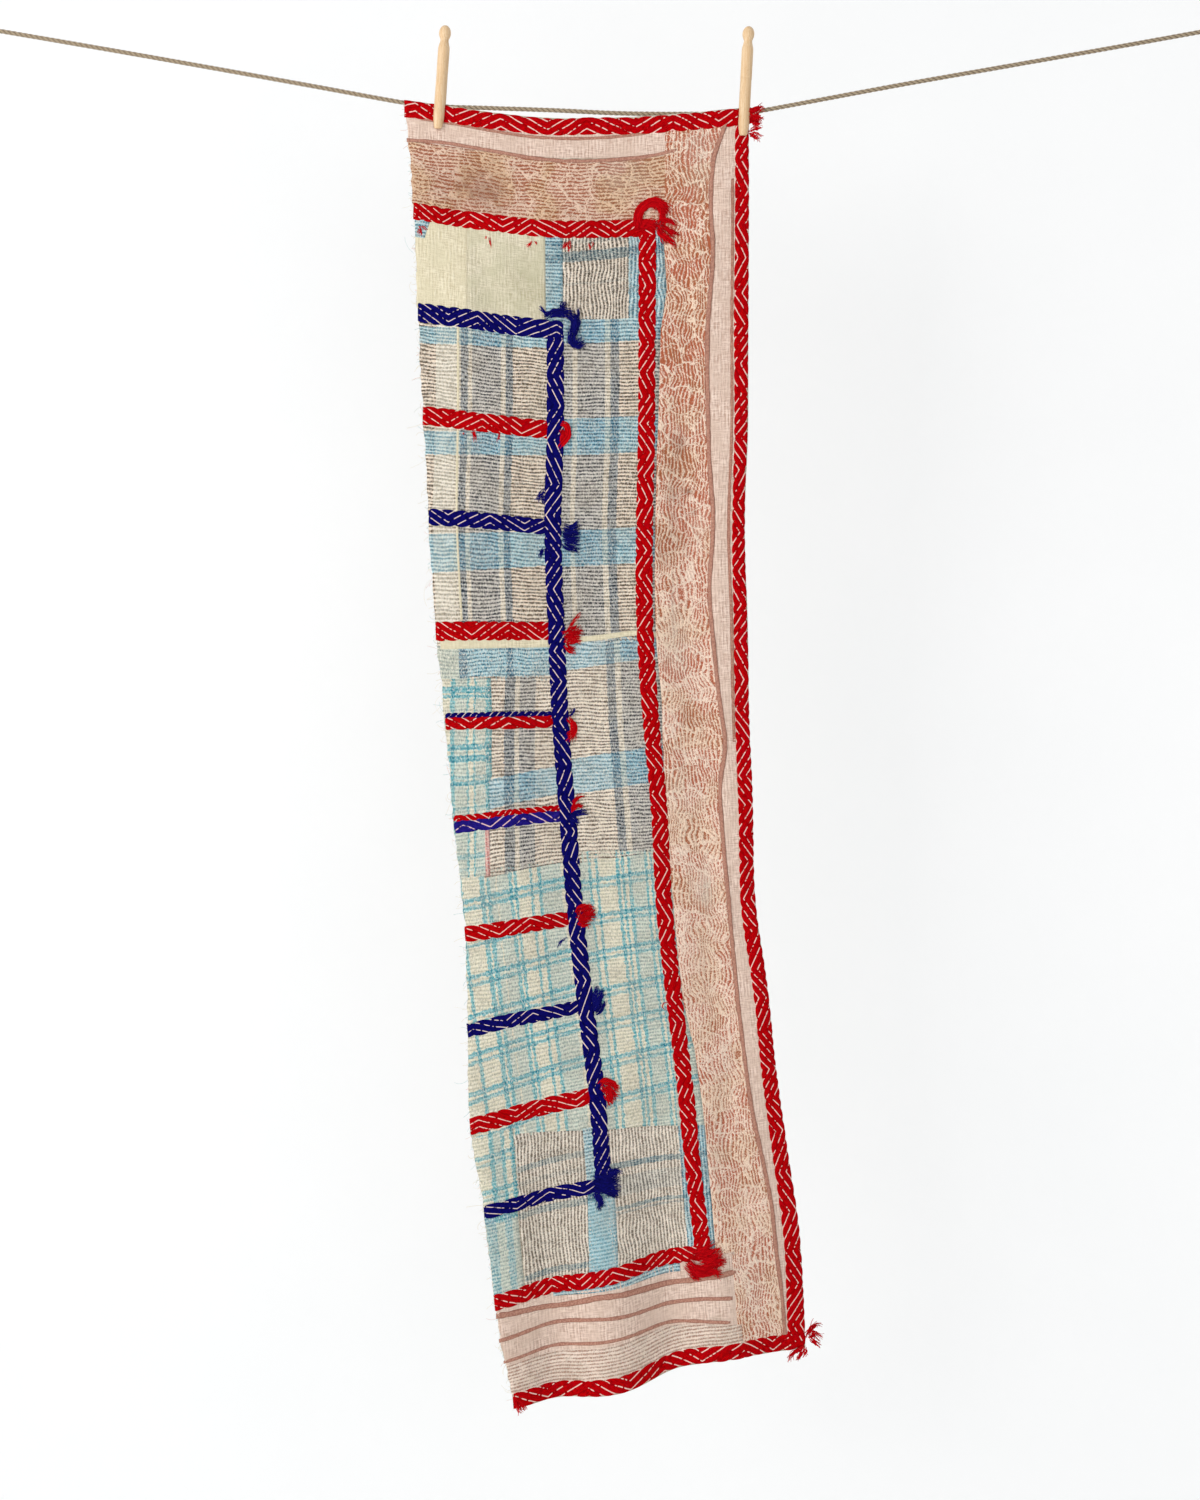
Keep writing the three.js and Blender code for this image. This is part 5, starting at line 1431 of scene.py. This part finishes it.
red_ends = loose_yarn("red_yarn_ends", "#93000A", "#DA0A14")
navy_ends = loose_yarn("navy_yarn_ends", "#06063A", "#17167C")
STRAY = {"lift": 1.1, "radius": 0.32}  # thin strands that lie close to the cloth
tufts = [
    # name, finish, seed, locks: path (across, down), half width, how many strands
    tuft("yarn_inner_top_curl", red_ends, 201,
         [([(86, 116), (84.5, 104), (88.5, 95), (98, 89.5), (107, 92), (112.5, 99)], 4.8, 190),
          ([(108.4, 95.7), (109.9, 102.8), (108.4, 110.8)], 3.2, 36),
          ([(80.8, 115.4), (92.1, 111.8), (102.3, 111.5)], 4.6, 70)]),
    tuft("yarn_inner_top_fan", red_ends, 202,
         [([(104.3, 107.7), (114.6, 108.1), (123.8, 113.5)], 3, 24),
          ([(104.3, 111.7), (114.6, 117.1), (124.8, 123.6)], 3, 24),
          ([(104.3, 115.7), (113.6, 125.1), (122.8, 132.4)], 3.5, 28),
          ([(103.3, 110.7), (107.4, 120.8), (111.5, 129.9)], 3, 18)]),
    tuft("yarn_navy_top", navy_ends, 203,
         [([(-11.4, 205), (-3.2, 200.4), (6, 198.8), (15.2, 201.4)], 4.5, 60),
          ([(13.2, 200.5), (20.3, 206.3), (19.2, 215.4), (16.1, 221.6)], 5, 50),
          ([(16.1, 217.5), (17.1, 226.7), (22.2, 231.6), (27.3, 228.4)], 4.5, 45),
          ([(-6.2, 202.6), (-12.3, 198.1), (-15.4, 195.3)], 2, 8),
          ([(7.1, 198.8), (7.1, 192.8), (10.2, 188.7)], 3, 10),
          ([(17.2, 202.4), (23.3, 201.2), (22.4, 195.2)], 2, 8)], lift=2.4),
    tuft("yarn_rung_2", red_ends, 204,
         [([(4.9, 311.9), (11, 313.6), (13.2, 321.7), (10.3, 329), (5.3, 334.3)], 3.2, 34),
          ([(5, 318), (8.1, 322.9), (6.2, 329.2)], 3, 20)], radius=0.62, splay=0.2),
    tuft("yarn_rung_3", navy_ends, 205,
         [([(9.6, 415.7), (17.8, 417.6), (26, 412.3)], 3, 20),
          ([(9.6, 420.8), (17.7, 423.7), (26, 422.6)], 4, 30),
          ([(9.5, 427), (16.6, 430.9), (24.8, 430.8)], 4, 30),
          ([(9.4, 432.1), (14.5, 437.1), (24.7, 439)], 3.5, 26)]),
    tuft("yarn_rung_4", red_ends, 206,
         [([(7, 526), (13.4, 520), (18.9, 511.9), (25.3, 504.9)], 2, 10),
          ([(5.9, 528), (14.2, 525.1), (22.6, 522.2)], 5, 40),
          ([(6.8, 532.1), (12.9, 533.2), (21.2, 530.3)], 4.5, 34),
          ([(8.7, 536.2), (11.6, 541.4), (16.7, 542.5)], 3.5, 24)]),
    tuft("yarn_rung_5", red_ends, 207,
         [([(7.4, 610.3), (12.2, 616.5), (12.7, 624.7), (7, 632.8)], 3.5, 40)]),
    tuft("yarn_rung_5_navy", navy_ends, 208,
         [([(7.4, 610.3), (11.8, 606.3), (14.1, 602.3)], 2, 10)]),
    tuft("yarn_rung_6_red", red_ends, 209,
         [([(2.8, 707.1), (6.6, 699.1), (11.3, 693.2), (17.7, 690.4)], 2, 14),
          ([(2.8, 707.1), (9.5, 701.3), (15.8, 701.6)], 2.5, 14)]),
    tuft("yarn_rung_6", navy_ends, 210,
         [([(0.8, 706.9), (9, 708.4), (18.4, 707.9)], 3, 22),
          ([(0.4, 711), (5.4, 714.4), (9.2, 718.7)], 3, 18)]),
    tuft("yarn_rung_7", red_ends, 211,
         [([(-0.4, 810.5), (8.5, 805.3), (16.6, 808.1)], 4.5, 36),
          ([(-0.7, 813.5), (8.7, 814.5), (18.2, 813.3)], 4.5, 36),
          ([(1, 817.8), (6, 820.4), (11.3, 819.9)], 4, 24)]),
    tuft("yarn_rung_8", navy_ends, 212,
         [([(7.8, 912.8), (12.2, 903.2), (20.1, 890.9)], 3, 30),
          ([(7.4, 907.6), (9.7, 897.7), (14, 888)], 3, 22),
          ([(8.7, 913.9), (14.6, 909.7), (17.5, 902.9)], 3, 20)]),
    tuft("yarn_rung_9", red_ends, 213,
         [([(2.6, 986.6), (8.4, 982.5), (17.6, 986.2), (21.2, 992.9)], 3.5, 30),
          ([(4.7, 987), (11.6, 992.3), (17.2, 1000.4)], 4.5, 40),
          ([(7.2, 993.5), (11.8, 1000.5), (13.5, 1004.8)], 3.5, 20)]),
    tuft("yarn_navy_bottom", navy_ends, 214,
         [([(-11.9, 1076.5), (-1.5, 1080.4), (11.3, 1080.9)], 6, 60),
          ([(-12.6, 1084.4), (-0.1, 1088.7), (12.3, 1093.3)], 6, 60),
          ([(-11, 1090.7), (-6.4, 1098.5), (-6.1, 1106.6)], 3.5, 34),
          ([(1.1, 1074.9), (9.7, 1074.6), (17.1, 1076.1)], 3.5, 24),
          ([(1.6, 1093), (7.8, 1096.3), (12.9, 1099.5)], 3, 20)]),
    tuft("yarn_inner_bottom", red_ends, 215,
         [([(80.9, 1186.6), (89.1, 1193.8), (99.8, 1197.2), (111, 1194.3)], 7, 110),
          ([(93.2, 1183.5), (105.1, 1184.9), (116.3, 1182.2)], 6, 60),
          ([(104.8, 1189.2), (114.5, 1190.5), (121.1, 1191.5)], 4, 30),
          ([(85.9, 1178.5), (96.9, 1177.5), (110.3, 1174.9)], 5, 40),
          ([(84.6, 1195.5), (88.5, 1201.3), (92.7, 1203.8)], 4, 20),
          ([(102, 1196.4), (110.5, 1200.6), (115.7, 1204.5)], 4, 20)], lift=2.6),
    tuft("yarn_outer_bottom", red_ends, 216,
         [([(204.8, 1284.7), (211, 1277.2), (219.4, 1272.1), (225, 1273.9)], 3, 18),
          ([(208.5, 1281), (216.5, 1281.1), (224.1, 1286.3)], 3.5, 18),
          ([(208.3, 1283.1), (214.8, 1288.2), (222.4, 1294.5)], 3, 14),
          ([(211.2, 1275.1), (215.4, 1279.9), (213.8, 1286)], 2.5, 10),
          ([(204.2, 1292), (199.4, 1295.6), (190.1, 1298.7), (186.2, 1305.6)], 3, 20),
          ([(203, 1292.9), (200.3, 1298.9), (196.5, 1304.7)], 3, 18),
          ([(205.3, 1293.2), (204.9, 1298.4), (203.4, 1303.5)], 2.5, 12)]),
    tuft("yarn_outer_top", red_ends, 217,
         [([(196.8, 4.6), (203.9, 5.2), (210, 2.7)], 3.5, 24),
          ([(196.8, 9.6), (205, 11.3), (211.1, 12.8)], 3.5, 24),
          ([(196.8, 14.6), (203, 17.1), (209.1, 19.5)], 3, 14),
          ([(196.9, 22.5), (203, 22), (209.1, 20.5)], 3, 16),
          ([(196.9, 26.5), (203, 28), (208.2, 31.3)], 3.5, 20)]),
    tuft("yarn_strays_1", red_ends, 218,
         [([(-139.9, 129), (-137.9, 133.8), (-138.9, 139.1)], 2.5, 10),
          ([(-136.8, 129.6), (-132.7, 131), (-130.7, 133.8)], 1.5, 5)], **STRAY),
    tuft("yarn_strays_2", red_ends, 219,
         [([(-66.1, 127.8), (-66.2, 133.9), (-65.2, 142)], 1.2, 6),
          ([(-69.3, 128.2), (-70.3, 131.3)], 1, 3)], **STRAY),
    tuft("yarn_strays_3", red_ends, 220,
         [([(-24.1, 127.3), (-25.1, 131.5), (-27.2, 134.7)], 2, 8),
          ([(-20, 126.9), (-19, 129.9), (-18, 131.8)], 1.2, 5)], **STRAY),
    tuft("yarn_strays_4", red_ends, 221,
         [([(11.6, 126.1), (10.5, 130.2), (7.5, 134.4)], 2, 8),
          ([(14.6, 126), (14.6, 131.1), (15.6, 137.2)], 2, 8)], **STRAY),
    tuft("yarn_strays_5", red_ends, 222,
         [([(33.9, 126.8), (35, 131.9), (37, 135.9)], 1.2, 5),
          ([(38, 126.8), (39, 129.9), (38, 133.9)], 1, 4)], **STRAY),
    tuft("yarn_strays_6", red_ends, 223,
         [([(-86.3, 327.4), (-82.2, 329.9), (-80.9, 337.8)], 2, 12),
          ([(-91.3, 329.9), (-93.3, 332.1)], 1, 3)], **STRAY),
    tuft("yarn_strays_7", red_ends, 224,
         [([(-58, 324.1), (-56.8, 330), (-58.7, 336.3)], 1.2, 6)], **STRAY),
    tuft("yarn_navy_strays_1", navy_ends, 225,
         [([(-7.4, 379.8), (-11.4, 383.1), (-15.3, 390.5)], 3, 16),
          ([(-8.3, 385), (-10.2, 390.2), (-9.1, 395.2)], 2, 8)], **STRAY),
    tuft("yarn_navy_strays_2", navy_ends, 226,
         [([(-8.1, 438.8), (-12.3, 443), (-13.4, 448.1)], 2.5, 14)], **STRAY),
    tuft("yarn_navy_strays_3", navy_ends, 229,
         [([(-11.2, 833.6), (-16.6, 834.8), (-20.1, 838.3), (-21.8, 844.1)], 1.3, 7)], lift=1.1, radius=0.3),
    tuft("yarn_strays_8", red_ends, 230,
         [([(88.1, 912.7), (82.8, 912), (80.2, 916), (84.1, 919.6)], 0.5, 3)], lift=1.4, radius=0.35),
    tuft("yarn_outer_corner", red_ends, 227,
         [([(-111.8, 1284), (-109.3, 1292), (-106.8, 1300)], 2.6, 22),
          ([(-108, 1286), (-104.5, 1292.5), (-102, 1297)], 2.0, 14)]),
]
print("tufts:", len(tufts), " faces:", sum(len(t.data.polygons) for t in tufts))

# %% [markdown]
# The cut edge has frayed: pale and teal threads of the weave stand out a few
# millimetres, and a few long ones hang loose.


# %% Fray
def fray(name, places, direction, length, curl, seed, radius=0.16, lift=0.3):
    """Threads from many places (u, v) on the cloth, each with its own direction in degrees and length."""
    rng = np.random.default_rng(seed)
    t = np.linspace(0, 1, 7)
    number = len(places)
    heading = np.radians(direction + rng.normal(0, 34, number))[:, None]
    heading = heading + np.radians(curl) * rng.normal(0, 1, (number, 1)) * t
    step = (length * rng.exponential(0.7, number) + 1.2)[:, None] / (len(t) - 1)
    u = places[:, :1] + np.cumsum(np.cos(heading) * step, axis=1)
    v = places[:, 1:] - np.cumsum(np.sin(heading) * step, axis=1)
    height = lift + rng.normal(0, 0.5, (number, 1)) + rng.normal(0, 1.4, (number, 1)) * t**1.5
    paths = on_cloth(u, v, height)
    points, faces = strands(paths, radius * rng.uniform(0.7, 1.2, (number, 1)) * np.ones(len(t)), sides=4)
    piece = mesh_piece(name, points, faces)
    keep(piece, tone=np.repeat(rng.random(number), len(points) // number))
    return piece


rng = np.random.default_rng(77)
cut_v = np.sort(rng.uniform(2, LENGTH - 2, 620))
cut_places = np.stack([ragged_cut(cut_v) + 1.0, cut_v], 1)
pale_fray = fray("fray_cut_edge", cut_places, 180, 3.6, 60, 78)
long_v = rng.uniform(30, LENGTH - 30, 46)
long_fray = fray("fray_long_threads", np.stack([ragged_cut(long_v) + 1.0, long_v], 1), 215, 11.0, 110, 79, radius=0.13)
ecru, add = bare_tree("ecru_loose_thread")
tone = add("Attribute", attribute_name="tone")
colour = add("Mix", (tone, "#D8CDB4", "#F1E9DA"))
colour = add("Mix", (add("MapRange", (tone, 0.8, 0.84, 0.0, 0.7)), colour, "#7FB6BF"))
colour = add("Mix", (add("MapRange", (tone, 0.12, 0.1, 0.0, 0.7)), colour, "#D9A29A"))
cover(add, colour, MATT)
for piece in (pale_fray, long_fray):
    piece.data.materials.append(ecru)
print("fray:", len(cut_v) + len(long_v), "threads")

# %% [markdown]
# ## Pegs
#
# A dolly peg is turned from one stick of beech: a round head, a neck, a long body
# that is slotted from below and two legs with thinned tips. Wood that has been
# sawn keeps a flat inside each leg. The body is the turned outline carried round;
# each leg is the same outline with its ring cut flat at the slot, opened by the
# few degrees that the cloth forces it.

# %% Pegs
SLOT, SLOT_DEPTH, SPREAD = 3.4, 58.0, math.radians(3.34)
ABOVE_TIP = 25.0  # height over the tips at which a peg pinches the line
PEG_Y = (SHEET_Y - (HALF_CLOTH + 0.3 + 0.8) - 0.3 + (TWINE / 2 - 1.4 + 0.3)) / 2
PEGS = [("peg_left", 481.5, -82.5, 107.0, 4.0), ("peg_right", 791.5, -89.5, 113.0, 3.1)]  # x, z, length, lean


def peg_outline(length, heights):
    """Radius of the turned outline at a height above the tip: straight legs that taper to the tip, a
    neck and a ball 12 mm across."""
    neck = length - 15.5
    outline = [(0.0, 3.3), (0.5, 3.9), (1.4, 4.4), (4, 4.85), (11, 5.85), (neck - 9, 5.9), (neck - 7, 5.82),
               (neck - 5.5, 5.4), (neck - 2, 4.55), (neck, 4.2), (neck + 1.0, 4.25), (neck + 1.8, 4.6)]
    ball = [(length - 8 + 8 * math.sin(a), 6.1 * math.cos(a)) for a in np.linspace(-0.55, math.pi / 2, 12)]
    return np.interp(heights, *np.transpose(outline + ball[1:]))


def turned_ring(radius, height, cut=None, side=1, count=48):
    """Rings of a peg. Where cut is set, the ring is a half: its round stays outside the slot's face."""
    if cut is None:
        angle = np.linspace(0, 2 * np.pi, count, endpoint=False)
        return np.stack([radius[:, None] * np.cos(angle), radius[:, None] * np.sin(angle), height[:, None] + 0 * angle], -1)
    reach = np.arccos(np.clip(cut / radius, 0, 0.999))[:, None]
    share = np.linspace(-1, 1, count // 2)
    angle = np.pi / 2 + share * reach
    round_part = np.stack([radius[:, None] * np.cos(angle), side * radius[:, None] * np.sin(angle),
                           height[:, None] + 0 * angle], -1)
    flat_x = np.linspace(-1, 1, 9)[1:-1]
    half_width = np.sqrt(np.maximum(radius**2 - cut**2, 0.01))[:, None]
    flat = np.stack([-flat_x * half_width, np.full((len(radius), 7), side * cut), height[:, None] + 0 * flat_x], -1)
    ring = np.concatenate([round_part, flat[:, ::-1]], 1)
    return ring if side > 0 else ring[:, ::-1]


def peg(name, x, z, length, lean):
    """A peg: its body above the slot and two legs below it, in one mesh."""
    high = np.concatenate([SLOT_DEPTH + np.array([0, 0.3, 1.2]), np.linspace(SLOT_DEPTH + 4, length - 16, 18),
                           length - 8 + 8 * np.sin(np.linspace(-0.9, math.pi / 2 - 0.02, 22))])
    radius = peg_outline(length, high)
    radius[:2] -= [0.5, 0.15]
    parts = [skin(turned_ring(radius, high), np.stack([0 * high, 0 * high, high], 1))]
    low = np.concatenate([[0, 0.25, 0.8, 1.8, 3.5, 6, 9, 12], np.linspace(16, SLOT_DEPTH + 3, 14)])
    for side in (1, -1):
        rings = turned_ring(peg_outline(length, low) - 0.04 * (low > SLOT_DEPTH - 1), low, SLOT / 2, side)
        below = SLOT_DEPTH - rings[..., 2]
        turn = SPREAD * np.clip(below / 6, 0, 1)
        rings[..., 1] = rings[..., 1] + side * np.sin(turn) * np.maximum(below, 0)
        parts.append(skin(rings, rings.mean(axis=1)))
    points, faces = joined(parts)
    points = points - [0, 0, ABOVE_TIP]
    tilt = math.radians(lean)
    points = points @ np.array([[math.cos(tilt), 0, -math.sin(tilt)], [0, 1, 0], [math.sin(tilt), 0, math.cos(tilt)]])
    return mesh_piece(name, points + [x, PEG_Y, z], faces)


pegs = [peg(name + "_turned", x, z, length, lean) for name, x, z, length, lean in PEGS]
beech, add = bare_tree("turned_beech")
place = add("TexCoord").outputs["Object"]
grain_place = add("Mapping", {"Vector": place, "Scale": (900.0, 900.0, 26.0), "Rotation": (0.0, math.radians(-3.5), 0.0)})
grain = add("TexNoise", {"Vector": grain_place, "Scale": 1.0, "Detail": 4.0, "Distortion": 0.6}, noise_dimensions="3D")
fleck_place = add("Mapping", {"Vector": place, "Scale": (1900.0, 1900.0, 320.0)})
fleck = add("TexNoise", (fleck_place, 1.0, 1.0), noise_dimensions="3D")
wood = add("Mix", (add("MapRange", (grain, 0.35, 0.65)), "#D6AE7F", "#E6C9A2"))
wood = add("Mix", (add("MapRange", (fleck, 0.62, 0.7, 0.0, 0.4)), wood, "#B98A5B"))
cover(add, wood, {"Roughness": 0.5}, grain, 0.25, 0.0003)
for made in pegs:
    made.data.materials.append(beech)
print("pegs:", [made.name for made in pegs])

# %% [markdown]
# ## What stands for what
#
# Every piece rides on the one body and hides the plain solid that it stands for.

# %% Declarations
root = "root"
band_nodes = {
    "band_red_top": "band_outer_top", "band_red_inner_top": "band_inner_top", "band_red_inner_bottom": "band_inner_bottom",
    "band_red_hem": "band_outer_bottom", "band_red_inner": "band_inner_right", "band_red_edge": "band_outer_right",
    "band_navy_down": "band_navy", "rung_5_red": "rung_5", "rung_6_violet": "rung_6",
    **{f"rung_{n}_red": f"rung_{n}" for n in (2, 4, 7, 9)}, **{f"rung_{n}_navy": f"rung_{n}" for n in (1, 3, 8, 10)},
}
tuft_nodes = {"yarn_" + node[5:]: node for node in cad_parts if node.startswith("tuft_")}
slots = [("twine", [line, loop_left, loop_right]), ("cloth", [ground, *patches, *stripes, pale_fray, long_fray]),
         ("red_yarn", red_bands), ("navy_yarn", [*navy_bands, violet_band]), ("beech", pegs),
         ("red_yarn", [t for t in tufts if t.data.materials[0] is red_ends]),
         ("navy_yarn", [t for t in tufts if t.data.materials[0] is navy_ends])]
for slot, pieces in slots:
    for piece in pieces:
        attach(piece, root)
for piece, node in ((line, "line"), (loop_left, "loop_left"), (loop_right, "loop_right"), (ground, "cloth"),
                    (pegs[0], "peg_left"), (pegs[1], "peg_right")):
    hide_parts(node)
for piece in [*bands, *tufts]:
    node = band_nodes.get(piece.name) or tuft_nodes.get(piece.name)
    if node:
        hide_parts(node)
